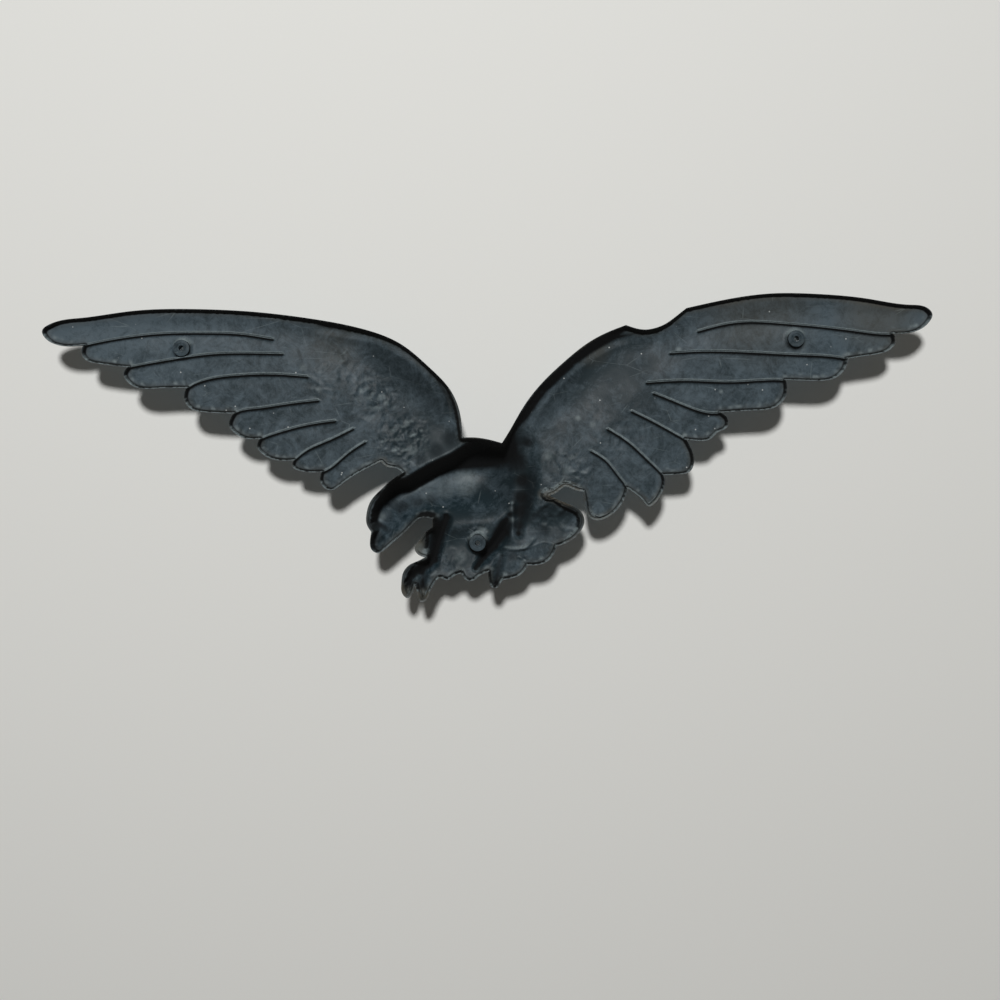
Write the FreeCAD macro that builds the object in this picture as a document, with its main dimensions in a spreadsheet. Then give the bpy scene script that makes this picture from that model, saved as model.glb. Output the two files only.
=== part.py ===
import FreeCAD, Part
import math
import os
import Sketcher
from FreeCAD import Rotation, Vector

# A hollow eagle plaque, moulded in one thin wall, with three screw posts behind it.
# It hangs as the front is seen: +X to the right, +Z up, the wall is the plane Y = 0 and the front faces -Y.
# The origin is where the axis of the body's screw hole meets the wall.

doc = FreeCAD.newDocument("eagle_plaque")
sizes = doc.addObject("Spreadsheet::Sheet", "Sizes")

SIZES_MM = (
    ("right_wing_length", 288.0, "from the notch at the neck to the wing tip"),
    ("right_wing_height", 88.6, "from that notch up to the top of the leading edge"),
    ("left_wing_length", 295.2, "from the notch at the back to the wing tip"),
    ("left_wing_height", 102.4, "from that notch up to the top of the leading edge"),
    ("body_width", 80.0, "across the body at the wing roots"),
    ("body_height", 100.0, "from the screw hole to the top of the body's frame"),
    ("head_length", 26.7, "from the nape to the beak, across"),
    ("head_height", 55.8, "from the nape to the tip of the beak, down"),
    ("leg_width", 21.2, "across the front leg"),
    ("leg_height", 57.2, "from the throat to the claws"),
    ("tail_width", 24.3, "how far the tail passes its root"),
    ("tail_height", 57.5, "from the top of the tail's root to its lowest feather"),
    ("face_wall", 2.2, "thickness of the moulding's face"),
    ("rim_wall", 1.7, "thickness of its rim"),
    ("groove_width", 2.2, "of the line between two feathers"),
    ("groove_depth", 1.1, "of that line on the front"),
    ("ridge_rise", 1.7, "of that line on the back"),
    ("post_diameter", 11.4, "outside of a screw post"),
    ("screw_hole_diameter", 3.4, "clears a 2.9 mm wood screw"),
    ("wing_tip_depth", 6.0, "front to wall at the wing tips"),
    ("feather_depth", 6.6, "front to wall over the flight feathers"),
    ("wing_arm_depth", 9.5, "front to wall along the arm of the wing"),
    ("shoulder_depth", 17.0, "front to wall where the wings join the body"),
    ("breast_depth", 37.0, "front to wall at the highest part of the body"),
    ("belly_depth", 24.0, "front to wall at the belly"),
    ("neck_depth", 28.0, "front to wall at the middle of the neck"),
    ("head_depth", 20.0, "front to wall at the head"),
    ("beak_depth", 12.0, "front to wall at the beak"),
    ("tail_depth", 10.5, "front to wall over the tail"),
    ("thigh_depth", 25.0, "front to wall at the top of a leg"),
    ("claw_depth", 8.0, "front to wall at the claws"),
    ("overrun", 1.0, "how far cutting solids pass what they cut"),
    ("front_overrun", 4.0, "how far blanks reach past the highest part of the front"),
)
MM = {}
for row, (alias, value, note) in enumerate(SIZES_MM, start=1):
    sizes.set(f"A{row}", alias)
    sizes.set(f"B{row}", str(value))
    sizes.set(f"C{row}", note)
    sizes.setAlias(f"B{row}", alias)
doc.recompute()
for alias, value, note in SIZES_MM:
    MM[alias] = float(sizes.get(alias))

# Places read off the photograph of the back, in its pixels: to the right, then down.
# The corners where the sections of the moulding meet belong to the body.
HOLE_PX = (477.5, 543)
NECK_NOTCH_PX = (462, 437.5)
NAPE_PX = (402.5, 473)
THROAT_PX = (432.5, 518.5)
LEG_FOOT_PX = (435, 582.5)
TOE_NOTCH_PX = (461, 573.5)
TAIL_FOOT_PX = (503, 580)
TAIL_TOP_PX = (549.5, 495.5)
BACK_NOTCH_PX = (502, 443)
LEG_SEAM_PX = [(440, 563), (443, 545), (446, 526)]
REAR_LEG_SEAM_PX = [(477, 559), (492, 537), (503, 538), (502, 560)]

# Each member has a frame: where it starts in the picture, its reach there to the left and up,
# and the real width and height of that reach.
FRAMES = {
    "body": (HOLE_PX, (116.8, 146.0), "body_width", "body_height"),
    "right_wing": (NECK_NOTCH_PX, (420.4, 129.3), "right_wing_length", "right_wing_height"),
    "left_wing": (BACK_NOTCH_PX, (-431.0, 149.5), "left_wing_length", "left_wing_height"),
    "head": (NAPE_PX, (39.0, 81.5), "head_length", "head_height"),
    "front_leg": (THROAT_PX, (31.0, 83.5), "leg_width", "leg_height"),
    "tail": (TAIL_TOP_PX, (-35.5, 84.0), "tail_width", "tail_height"),
}
TURNED_MEMBERS = ("left_wing", "tail")


def place(member, point_px):
    """The real (x, z) of a place in the picture, measured in a member's frame."""
    start_px, reach_px, width, height = FRAMES[member]
    x_share = (start_px[0] - point_px[0]) / reach_px[0]
    z_share = (start_px[1] - point_px[1]) / reach_px[1]
    if member in TURNED_MEMBERS:
        x_share = -x_share
    start = (0.0, 0.0) if member == "body" else place("body", start_px)
    return (start[0] + x_share * MM[width], start[1] + z_share * MM[height])


def places(member, points_px):
    return [place(member, point_px) for point_px in points_px]


# The outline of each member, one curve from corner to corner, clockwise as the front is seen.
RIGHT_WING_CURVES_PX = [
    [(460, 414), (451, 391), (430, 368), (400, 343.5), (365, 329.5), (310, 318.5), (250, 311.5),
     (190, 309), (130, 311.2), (80, 318), (50, 324), (42, 331), (46, 339), (56, 344.5), (83, 345)],
    [(81.3, 352), (84, 358.5), (95, 363), (127, 367)],
    [(123.5, 374), (127, 381.5), (137, 387.5), (160, 388.2), (186, 388)],
    [(183.8, 396), (189, 407.5), (203, 412), (233, 413.5)],
    [(229, 426), (234, 432.5), (245, 438.3), (259, 439)],
    [(257, 447), (263, 454.5), (275, 459.8), (293, 460.5)],
    [(292, 466), (299, 470.5), (321, 472)],
    [(320, 481), (325, 488.5), (332, 490), (340, 485.5), (360, 472), (381, 461.5)],
    [(388, 467), (396, 468)],
]
LEFT_WING_CURVES_PX = [
    [(558, 491.5), (565, 486.6), (574, 489.5), (583.3, 491.5)],
    [(585, 505), (590.5, 518), (595, 520), (605, 518.5), (617, 510), (625, 498), (628, 488.5)],
    [(637, 495), (643.5, 501.5), (648.5, 506.5), (655, 503), (661.5, 494), (665, 482), (664, 475)],
    [(680, 474.3), (690.5, 471), (694, 463), (692, 450), (686.5, 439.5)],
    [(700, 440.8), (711, 438.6), (719, 431.5), (727, 427.3), (728, 419), (721.5, 412.5)],
    [(755, 410.3), (773, 408), (784, 400), (787.5, 389), (786.5, 380)],
    [(812, 380.7), (832, 379), (843, 372), (847.5, 363), (848.7, 358.5)],
    [(864, 356), (880, 353.5), (891, 348.8), (896, 341), (894, 333.5)],
    [(908, 333), (921, 329), (930, 321), (932.5, 314.5), (929, 309), (910, 304.7), (870, 299), (815, 293.8),
     (770, 293.5), (730, 298.7), (686.5, 308)],
    [(677, 315.5), (665, 324), (655, 328), (645, 329.5), (626, 325)],
    [(608, 332), (590, 341.5), (565, 361), (541, 384), (523, 407.5), (510, 430)],
]
HEAD_CURVES_PX = [
    [(394, 478), (381, 489.5), (371, 500.5), (366.5, 514), (367, 525), (371.3, 532)],
    [(370, 541), (371.5, 549.5), (377, 553), (383.5, 550.5), (393, 542.5), (404, 533), (413, 523.5),
     (421, 517.6)],
]
FRONT_LEG_CURVES_PX = [
    [(432, 527.5)],
    [(425, 532.5), (418.5, 541.5), (414.7, 548.5), (418, 554.5), (425, 557.5)],
    [(418, 561), (409, 565.3), (403, 573), (401.3, 584), (402.5, 594), (407.5, 598), (411.5, 595),
     (415, 585)],
    [(417.7, 596), (421, 602), (425.5, 600.5), (430, 592)],
]
BELLY_CURVE_PX = [(440, 578), (446.5, 580), (455, 575.5)]
REAR_LEG_CURVES_PX = [
    [(466, 580), (472, 580.8), (480, 575.5), (488, 572)],
    [(489, 582), (492, 587.3), (497, 587.8), (500.5, 583.5)],
]
TAIL_CURVES_PX = [
    [(513, 577.8), (522, 573.7), (528, 565.3)],
    [(540, 564.5), (550, 559.3), (557, 546.3)],
    [(570, 541), (580, 532), (584.4, 520), (580.5, 511), (570, 504.5), (559, 500)],
]
BODY_TOP_CURVE_PX = [(490, 439.8), (476, 437.5)]

# The lines between the flight feathers, from their round inner ends out to the notches.
RIGHT_WING_LINES_PX = [
    [(271, 338), (240, 333.3), (205, 332), (160, 332.8), (120, 337.5), (88, 343.8)],
    [(281, 353), (250, 352.5), (215, 353.2), (175, 358.3), (132, 366)],
    [(306, 376), (270, 373.7), (235, 375), (208, 378.7), (190, 385.5)],
    [(317, 400), (285, 403.8), (255, 408.2), (237, 411.5)],
    [(334, 420.5), (305, 425), (282, 431), (264, 437)],
    [(352, 428.5), (325, 441.5), (305, 451), (296, 458)],
    [(364, 442), (345, 455), (326, 470)],
]
LEFT_WING_LINES_PX = [
    [(700, 330), (723, 324), (745, 321), (780, 322.3), (820, 326), (860, 331), (890, 333.7)],
    [(672, 352), (700, 350.7), (750, 351.8), (800, 354.3), (845, 357.8)],
    [(648, 382), (685, 380.2), (735, 381.5), (782, 379.7)],
    [(655, 393), (675, 401), (695, 409), (717, 413)],
    [(633, 411), (655, 422), (682, 437)],
    [(609, 429), (630, 442.8), (645, 456.5), (660.5, 471.5)],
    [(592, 451), (607, 461), (618, 474.5), (626, 485)],
]
TAIL_LINES_PX = [
    [(524, 549.5), (532, 546.8), (543, 542.5), (554, 544.8)],
    [(518.5, 557.5), (523, 559.5), (526.3, 563)],
]

# The high parts of the front, as lines of crests. Each point has a place, a depth, and a radius in the
# picture.
CRESTS = [
    ("right_wing", [((52, 331), "wing_tip_depth", 13), ((140, 328), "wing_arm_depth", 22),
                    ((280, 330), "wing_arm_depth", 34)]),
    ("right_wing", [((280, 330), "wing_arm_depth", 34), ((380, 365), "shoulder_depth", 40),
                    ((440, 430), "shoulder_depth", 40)]),
    ("left_wing", [((922, 318), "wing_tip_depth", 13), ((800, 312), "wing_arm_depth", 22),
                   ((690, 330), "wing_arm_depth", 36)]),
    ("left_wing", [((690, 330), "wing_arm_depth", 36), ((590, 380), "shoulder_depth", 42),
                   ((535, 440), "shoulder_depth", 46)]),
    ("body", [((374, 545), "beak_depth", 12), ((380, 524), "head_depth", 17),
              ((398, 505), "neck_depth", 24), ((437, 489), "neck_depth", 34),
              ((475, 480), "breast_depth", 40), ((505, 492), "breast_depth", 34)]),
    ("body", [((470, 520), "thigh_depth", 44), ((505, 535), "belly_depth", 34)]),
    ("body", [((444, 524), "thigh_depth", 18), ((435, 556), "belly_depth", 12),
              ((422, 572), "tail_depth", 10)]),
    ("body", [((497, 540), "thigh_depth", 15), ((480, 566), "tail_depth", 12)]),
    ("body", [((497, 560), "tail_depth", 10), ((495, 582), "claw_depth", 9)]),
    ("body", [((530, 525), "tail_depth", 30), ((560, 528), "tail_depth", 34)]),
]
PIXEL_MM = (MM["right_wing_length"] + MM["left_wing_length"]) / (
    FRAMES["right_wing"][1][0] - FRAMES["left_wing"][1][0])
CREST_SHARPNESS = 5
CREST_FALL = 0.7


def crest_depth(x, z, member, crest):
    """How deep one line of crests is at (x, z): full on the line, and fading out past its radius."""
    best = 0.0
    for (place_a, depth_a, radius_a), (place_b, depth_b, radius_b) in zip(crest, crest[1:]):
        ax, az = place(member, place_a)
        bx, bz = place(member, place_b)
        run = (bx - ax) ** 2 + (bz - az) ** 2
        share = max(0.0, min(1.0, ((x - ax) * (bx - ax) + (z - az) * (bz - az)) / run))
        away = math.hypot(x - ax - share * (bx - ax), z - az - share * (bz - az))
        depth = MM[depth_a] + share * (MM[depth_b] - MM[depth_a])
        radius = (radius_a + share * (radius_b - radius_a)) * PIXEL_MM
        best = max(best, depth * math.exp(-CREST_FALL * (away / radius) ** 2))
    return best


def relief_depth(x, z):
    """How far the front stands off the wall at (x, z)."""
    total = MM["feather_depth"] ** CREST_SHARPNESS
    for member, crest in CRESTS:
        total += crest_depth(x, z, member, crest) ** CREST_SHARPNESS
    return total ** (1 / CREST_SHARPNESS)


# The front is one smooth surface over a grid, with spare rows past the outline on every side.
COLUMNS = 94
ROWS = 38
SPARE = 2
DEGREE = 3
outline_west = place("left_wing", (932.5, 314.5))[0]
outline_east = place("right_wing", (42, 331))[0]
outline_south = place("front_leg", (421, 602))[1]
outline_north = place("left_wing", (780, 293))[1]
column_pitch = (outline_east - outline_west) / (COLUMNS - 1 - 2 * SPARE)
row_pitch = (outline_north - outline_south) / (ROWS - 1 - 2 * SPARE)
west, east = outline_west - SPARE * column_pitch, outline_east + SPARE * column_pitch
south, north = outline_south - SPARE * row_pitch, outline_north + SPARE * row_pitch


def surface_knots(start, pitch, count):
    """Even knots, so that each pole stands over its own place in the grid."""
    first = start - pitch * (DEGREE + 1) / 2
    return [first + pitch * index for index in range(count + DEGREE + 1)]


column_knots = surface_knots(west, column_pitch, COLUMNS)
row_knots = surface_knots(south, row_pitch, ROWS)
poles = []
for column in range(COLUMNS):
    x = west + column * column_pitch
    poles.append([Vector(x, -relief_depth(x, south + row * row_pitch), south + row * row_pitch)
                  for row in range(ROWS)])
front_surface = Part.BSplineSurface()
front_surface.buildFromPolesMultsKnots(poles, [1] * len(column_knots), [1] * len(row_knots),
                                       column_knots, row_knots, False, False, DEGREE, DEGREE)


def in_plan(x, z):
    return Vector(x, 0, z)


def curve_edge(points):
    """A smooth edge through points in the wall plane."""
    if len(points) == 2:
        return Part.makeLine(in_plan(*points[0]), in_plan(*points[1]))
    curve = Part.BSplineCurve()
    curve.interpolate([in_plan(*point) for point in points])
    return curve.toShape()


def heading(edge, at_end):
    """The unit direction of an edge in plan, at its start or its end."""
    parameter = edge.LastParameter if at_end else edge.FirstParameter
    tangent = edge.tangentAt(parameter)
    return (tangent.x, tangent.z)


def inward(direction):
    """To the right of a direction: outlines run clockwise, so that is into the plan."""
    return (direction[1], -direction[0])


FLAT_CORNER_SHARE = 0.05
MITRE_SHARE = 1.8


def corner_inset(corner, way_in, way_out, inset_in, inset_out):
    """Where two inset edges meet, near the corner that they shared."""
    in_x, in_z = inward(way_in)
    out_x, out_z = inward(way_out)
    spread = in_x * out_z - in_z * out_x
    if abs(spread) < FLAT_CORNER_SHARE:
        return (corner[0] + in_x * inset_in, corner[1] + in_z * inset_in)
    move_x = (inset_in * out_z - inset_out * in_z) / spread
    move_z = (inset_out * in_x - inset_in * out_x) / spread
    reach = math.hypot(move_x, move_z)
    most = MITRE_SHARE * max(abs(inset_in), abs(inset_out))
    if inset_in == inset_out and reach > most:
        move_x, move_z = move_x * most / reach, move_z * most / reach
    return (corner[0] + move_x, corner[1] + move_z)


def plan_edges(start, stretches):
    """Edges of a plan that starts at a corner. A rim stretch is one curve, and seams are straight."""
    edges = []
    here = start
    for kind, points in stretches:
        if kind == "rim":
            edges.append((kind, curve_edge([here] + points)))
            here = points[-1]
            continue
        for point in points:
            edges.append((kind, curve_edge([here, point])))
            here = point
    return edges


def inset_edges(edges):
    """The same plan with its rim curves moved in by the rim's wall and its seams moved out a little."""
    insets = [MM["rim_wall"] if kind == "rim" else -MM["overrun"] for kind, edge in edges]
    corners = []
    for index, (kind, edge) in enumerate(edges):
        before = edges[index - 1][1]
        corner = edge.valueAt(edge.FirstParameter)
        corners.append(corner_inset((corner.x, corner.z), heading(before, True), heading(edge, False),
                                    insets[index - 1], insets[index]))
    moved = []
    for index, (kind, edge) in enumerate(edges):
        start = corners[index]
        end = corners[(index + 1) % len(corners)]
        between = []
        if edge.Curve.TypeId == "Part::GeomBSplineCurve":
            knots = edge.Curve.getKnots()
            marks = sorted(knots[1:-1] + [(a + b) / 2 for a, b in zip(knots, knots[1:])])
            for mark in marks:
                point = edge.valueAt(mark)
                tangent = edge.tangentAt(mark)
                step_x, step_z = inward((tangent.x, tangent.z))
                spot = (point.x + step_x * insets[index], point.z + step_z * insets[index])
                near_start = math.hypot(spot[0] - start[0], spot[1] - start[1])
                near_end = math.hypot(spot[0] - end[0], spot[1] - end[1])
                if min(near_start, near_end) > MM["rim_wall"]:
                    between.append(spot)
        moved.append(curve_edge([start] + between + [end]))
    return moved


def plan_face(edges):
    return Part.Face(Part.Wire(edges))


INNER_END_SHARE = 0.5


def line_face(points):
    """The strip of one line between feathers: narrow at its inner end, full width at the rim."""
    curve = Part.BSplineCurve()
    curve.interpolate([in_plan(*point) for point in points])
    knots = curve.getKnots()
    left, right = [], []
    for index, knot in enumerate(knots):
        point, tangent = curve.value(knot), curve.tangent(knot)[0]
        half = MM["groove_width"] / 2 * (INNER_END_SHARE if index == 0 else 1)
        step_x, step_z = inward((tangent.x, tangent.z))
        left.append((point.x - step_x * half, point.z - step_z * half))
        right.append((point.x + step_x * half, point.z + step_z * half))
    return plan_face([curve_edge(left), curve_edge([left[-1], right[-1]]), curve_edge(right[::-1]),
                      curve_edge([right[0], left[0]])])


def add_shape(name, shape, set_back=None):
    """A plain shape. set_back is an expression for how far it is moved back towards the wall."""
    feature = doc.addObject("Part::Feature", name)
    feature.Shape = shape
    if set_back:
        feature.setExpression(".Placement.Base.y", set_back)
    return feature


def add_blank(name, shape):
    """A plan, extruded from just behind the wall plane to past the front."""
    plan = add_shape(name + "_plan", shape)
    blank = doc.addObject("Part::Extrusion", name + "_blank")
    blank.Base = plan
    blank.DirMode = "Custom"
    blank.Dir = Vector(0, -1, 0)
    blank.Solid = True
    blank.setExpression("LengthFwd", "Sizes.breast_depth + Sizes.front_overrun")
    return blank


def add_boolean(kind, name, base, tool):
    feature = doc.addObject("Part::" + kind, name)
    feature.Base = base
    feature.Tool = tool
    return feature


def front_block(plan):
    """The stretch of the front surface over a plan, thickened to past the wall."""
    box = plan.BoundBox
    piece = front_surface.copy()
    piece.segment(max(west + column_pitch, box.XMin - column_pitch),
                  min(east - column_pitch, box.XMax + column_pitch),
                  max(south + row_pitch, box.ZMin - row_pitch),
                  min(north - row_pitch, box.ZMax + row_pitch))
    return piece.toShape().extrude(Vector(0, MM["breast_depth"] + MM["front_overrun"], 0))


def add_drill(name, hole_place):
    """A straight cutter for a screw hole, from the wall forwards."""
    drill = doc.addObject("Part::Cylinder", name + "_drill")
    drill.setExpression("Radius", "Sizes.screw_hole_diameter / 2")
    drill.setExpression("Height", "Sizes.breast_depth + Sizes.front_overrun")
    x, z = hole_place
    drill.Placement = FreeCAD.Placement(Vector(x, 0, z), Rotation(Vector(1, 0, 0), 90))
    return drill


def add_section(name, edges, lines, drills):
    """One section of the moulding: a plan under the front surface, hollowed from behind."""
    face = plan_face([edge for kind, edge in edges])
    hollow_face = plan_face(inset_edges(edges))
    block = front_block(face)
    front = add_shape(name + "_front", block)
    inner = add_shape(name + "_inner_front", block, "Sizes.face_wall")
    outside = add_boolean("Common", name + "_outside", add_blank(name, face), front)
    hollow = add_boolean("Common", name + "_hollow", add_blank(name + "_hollow", hollow_face), inner)
    if lines:
        strips = add_blank(name + "_lines", Part.makeCompound([line_face(line) for line in lines]))
        groove = add_shape(name + "_groove_front", block, "Sizes.groove_depth")
        ridge = add_shape(name + "_ridge_front", block, "Sizes.face_wall + Sizes.ridge_rise")
        grooves = add_boolean("Cut", name + "_grooves", strips, groove)
        ridges = add_boolean("Cut", name + "_ridges", strips, ridge)
        outside = add_boolean("Cut", name + "_grooved", outside, grooves)
        hollow = add_boolean("Cut", name + "_ridged", hollow, ridges)
    section = add_boolean("Cut", name + "_shell", outside, hollow)
    for drill in drills:
        section = add_boolean("Cut", name + "_drilled", section, drill)
    section.Label = name
    return section, inner


def add_post(name, post_place, inner):
    """A screw post: a round pad with its hole, cut to the slope of the floor that it stands on."""
    body = doc.addObject("PartDesign::Body", name + "_body")
    sketch = body.newObject("Sketcher::SketchObject", name + "_section")
    plane = [feature for feature in body.Origin.OriginFeatures if feature.Role == "XY_Plane"][0]
    sketch.AttachmentSupport = (plane, [""])
    sketch.MapMode = "FlatFace"
    for number, diameter in enumerate(("post_diameter", "screw_hole_diameter")):
        sketch.addGeometry(Part.Circle(Vector(0, 0, 0), Vector(0, 0, 1), MM[diameter] / 2))
        sketch.addConstraint(Sketcher.Constraint("Coincident", number, 3, -1, 1))
        diameter_rule = sketch.addConstraint(Sketcher.Constraint("Diameter", number, MM[diameter]))
        sketch.setExpression(f"Constraints[{diameter_rule}]", f"Sizes.{diameter}")
    pad = body.newObject("PartDesign::Pad", name + "_pad")
    pad.Profile = sketch
    pad.setExpression("Length", "Sizes.breast_depth + Sizes.overrun")
    x, z = post_place
    body.Placement = FreeCAD.Placement(Vector(x, 0, z), Rotation(Vector(1, 0, 0), 90))
    post = add_boolean("Common", name + "_seated", body, inner)
    post.Label = name
    return post


neck_notch = place("body", NECK_NOTCH_PX)
nape = place("body", NAPE_PX)
throat = place("body", THROAT_PX)
leg_foot = place("body", LEG_FOOT_PX)
toe_notch = place("body", TOE_NOTCH_PX)
tail_foot = place("body", TAIL_FOOT_PX)
tail_top = place("body", TAIL_TOP_PX)
back_notch = place("body", BACK_NOTCH_PX)
leg_seam = places("body", LEG_SEAM_PX)
rear_leg_seam = places("body", REAR_LEG_SEAM_PX)


def rims(member, curves_px, end):
    """Rim stretches of a member, the last of them running on to a shared corner."""
    stretches = [("rim", places(member, curve_px)) for curve_px in curves_px]
    stretches[-1][1].append(end)
    return stretches


plans = {
    "right_wing": plan_edges(neck_notch, rims("right_wing", RIGHT_WING_CURVES_PX, nape)
                             + [("seam", [neck_notch])]),
    "head": plan_edges(nape, rims("head", HEAD_CURVES_PX, throat) + [("seam", [nape])]),
    "front_leg": plan_edges(throat, rims("front_leg", FRONT_LEG_CURVES_PX, leg_foot)
                            + [("seam", leg_seam + [throat])]),
    "rear_leg": plan_edges(toe_notch, rims("body", REAR_LEG_CURVES_PX, tail_foot)
                           + [("seam", rear_leg_seam[::-1] + [toe_notch])]),
    "tail": plan_edges(tail_foot, rims("tail", TAIL_CURVES_PX, tail_top) + [("seam", [tail_foot])]),
    "left_wing": plan_edges(tail_top, rims("left_wing", LEFT_WING_CURVES_PX, back_notch)
                            + [("seam", [tail_top])]),
    "body": plan_edges(neck_notch, [("seam", [nape, throat] + leg_seam[::-1] + [leg_foot])]
                       + rims("body", [BELLY_CURVE_PX], toe_notch)
                       + [("seam", rear_leg_seam + [tail_foot, tail_top, back_notch])]
                       + rims("body", [BODY_TOP_CURVE_PX], neck_notch)),
}
POSTS = {
    "right_wing": place("right_wing", (181, 348)),
    "left_wing": place("left_wing", (796.5, 338.5)),
    "body": place("body", HOLE_PX),
}
feather_lines = {
    "right_wing": [places("right_wing", line) for line in RIGHT_WING_LINES_PX],
    "left_wing": [places("left_wing", line) for line in LEFT_WING_LINES_PX],
    "tail": [places("tail", line) for line in TAIL_LINES_PX],
}

sub_parts = []
for name, edges in plans.items():
    drills = [add_drill(name, POSTS[name])] if name in POSTS else []
    section, inner = add_section(name, edges, feather_lines.get(name, ()), drills)
    sub_parts.append(section)
    if name in POSTS:
        sub_parts.append(add_post(name + "_screw_post", POSTS[name], inner))

doc.recompute()
for feature in doc.Objects:
    if "Invalid" in feature.State or "Error" in feature.State:
        raise RuntimeError(f"{feature.Name} did not build")
for sub_part in sub_parts:
    if sub_part.Shape.isNull() or not sub_part.Shape.isValid():
        raise RuntimeError(f"{sub_part.Label} is not a valid solid")
os.makedirs("parts", exist_ok=True)
for sub_part in sub_parts:
    shape = sub_part.Shape
    shape.exportStep(f"parts/{sub_part.Label}.step")
    box = shape.BoundBox
    print(f"{sub_part.Label}: {len(shape.Solids)} solid, {shape.Volume:.0f} mm3, X {box.XMin:.1f} to "
          f"{box.XMax:.1f}, Y {box.YMin:.1f} to {box.YMax:.1f}, Z {box.ZMin:.1f} to {box.ZMax:.1f}")
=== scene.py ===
import math

import bmesh
import bpy
import numpy as np
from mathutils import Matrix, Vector, noise
from mathutils.geometry import delaunay_2d_cdt
from mathutils.kdtree import KDTree


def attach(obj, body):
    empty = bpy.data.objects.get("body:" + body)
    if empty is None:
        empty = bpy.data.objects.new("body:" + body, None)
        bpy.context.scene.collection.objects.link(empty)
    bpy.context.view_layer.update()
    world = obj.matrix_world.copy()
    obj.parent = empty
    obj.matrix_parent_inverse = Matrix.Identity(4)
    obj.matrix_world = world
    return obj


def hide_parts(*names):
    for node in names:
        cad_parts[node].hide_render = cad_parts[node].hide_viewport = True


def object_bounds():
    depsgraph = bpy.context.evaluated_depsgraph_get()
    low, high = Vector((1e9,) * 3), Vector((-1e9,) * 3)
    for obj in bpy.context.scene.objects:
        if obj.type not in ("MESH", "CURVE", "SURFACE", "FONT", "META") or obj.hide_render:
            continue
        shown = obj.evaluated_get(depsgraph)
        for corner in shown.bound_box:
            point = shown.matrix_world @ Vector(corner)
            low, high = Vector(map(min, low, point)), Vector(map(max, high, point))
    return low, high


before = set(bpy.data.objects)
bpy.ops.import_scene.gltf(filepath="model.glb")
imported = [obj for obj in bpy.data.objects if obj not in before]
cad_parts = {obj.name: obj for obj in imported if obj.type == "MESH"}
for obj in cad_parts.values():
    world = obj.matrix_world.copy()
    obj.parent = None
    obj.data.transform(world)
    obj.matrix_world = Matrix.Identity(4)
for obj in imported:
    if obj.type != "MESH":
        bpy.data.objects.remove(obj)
cad_low, cad_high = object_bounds()

# The moulding
# One eagle, moulded in a single thin wall of black plastic, hollow behind, with its rim on the wall plane.
# It is divided where its forms meet, as in the CAD, and each section is a closed skin made in the same way.
# Lengths are in mm, and what ends in PX is read off the photograph of the back, in its pixels.
MM = 0.001
ORIGIN_PX = (477.5, 543)
OUTLINE_WIDTH_PX = 890.5
px_mm = (cad_high.x - cad_low.x) / MM / OUTLINE_WIDTH_PX


def plan(points_px):
    """Places in the picture as (x, z) seen from the front."""
    points = np.asarray(points_px, float)
    return (np.array(ORIGIN_PX) - points) * px_mm


def away_from(points, place_px):
    """How far each point is from a place in the picture."""
    return np.linalg.norm(points - plan([place_px])[0], axis=1)


def unit(values):
    return np.clip(values, 0, 1)


def fade(values, start, end):
    """0 up to the start, 1 from the end on, and even between them."""
    return unit((values - start) / (end - start))


def bell(values, width):
    return np.exp(-(values / width) ** 2)


def smooth_curve(points, pitch):
    """Points along the natural cubic curve through the given ones, about a pitch apart."""
    points = np.asarray(points, float)
    steps = np.linalg.norm(np.diff(points, axis=0), axis=1)
    marks = np.concatenate(([0], np.cumsum(steps)))
    count = len(points)
    rows = np.eye(count)
    turns = np.zeros((count, 2))
    for i in range(1, count - 1):
        rows[i, i - 1:i + 2] = steps[i - 1], 2 * (steps[i - 1] + steps[i]), steps[i]
        turns[i] = 6 * ((points[i + 1] - points[i]) / steps[i] - (points[i] - points[i - 1]) / steps[i - 1])
    bends = np.linalg.solve(rows, turns)
    places = np.linspace(0, marks[-1], max(2, int(marks[-1] / pitch) + 2))
    span = np.clip(np.searchsorted(marks, places, side="right") - 1, 0, count - 2)
    step = steps[span]
    b = (places - marks[span]) / step
    a = 1 - b
    curve = a[:, None] * points[span] + b[:, None] * points[span + 1]
    curve += ((a ** 3 - a) * step ** 2 / 6)[:, None] * bends[span]
    curve += ((b ** 3 - b) * step ** 2 / 6)[:, None] * bends[span + 1]
    return curve


# The outline
# Each member's rim runs clockwise as the front is seen, one curve from corner to corner.
NECK_NOTCH_PX = (462, 437.5)
NAPE_PX = (402.5, 473)
THROAT_PX = (432.5, 518.5)
LEG_FOOT_PX = (435, 582.5)
TOE_NOTCH_PX = (461, 573.5)
TAIL_FOOT_PX = (503, 580)
TAIL_TOP_PX = (549.5, 495.5)
BACK_NOTCH_PX = (502, 443)
LEG_SEAM_PX = [(440, 563), (443, 545), (446, 526)]
REAR_LEG_SEAM_PX = [(477, 559), (492, 537), (503, 538), (502, 560)]
RIGHT_WING_CURVES_PX = [
    [(460, 414), (451, 391), (430, 368), (400, 343.5), (365, 329.5), (310, 318.5), (250, 311.5),
     (190, 309), (130, 311.2), (80, 318), (50, 324), (42, 331), (46, 339), (56, 344.5), (83, 345)],
    [(81.3, 352), (84, 358.5), (95, 363), (127, 367)],
    [(123.5, 374), (127, 381.5), (137, 387.5), (160, 388.2), (186, 388)],
    [(183.8, 396), (189, 407.5), (203, 412), (233, 413.5)],
    [(229, 426), (234, 432.5), (245, 438.3), (259, 439)],
    [(257, 447), (263, 454.5), (275, 459.8), (293, 460.5)],
    [(292, 466), (299, 470.5), (321, 472)],
    [(320, 481), (325, 488.5), (332, 490), (340, 485.5), (360, 472), (381, 461.5)],
    [(388, 467), (396, 468)],
]
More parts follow.
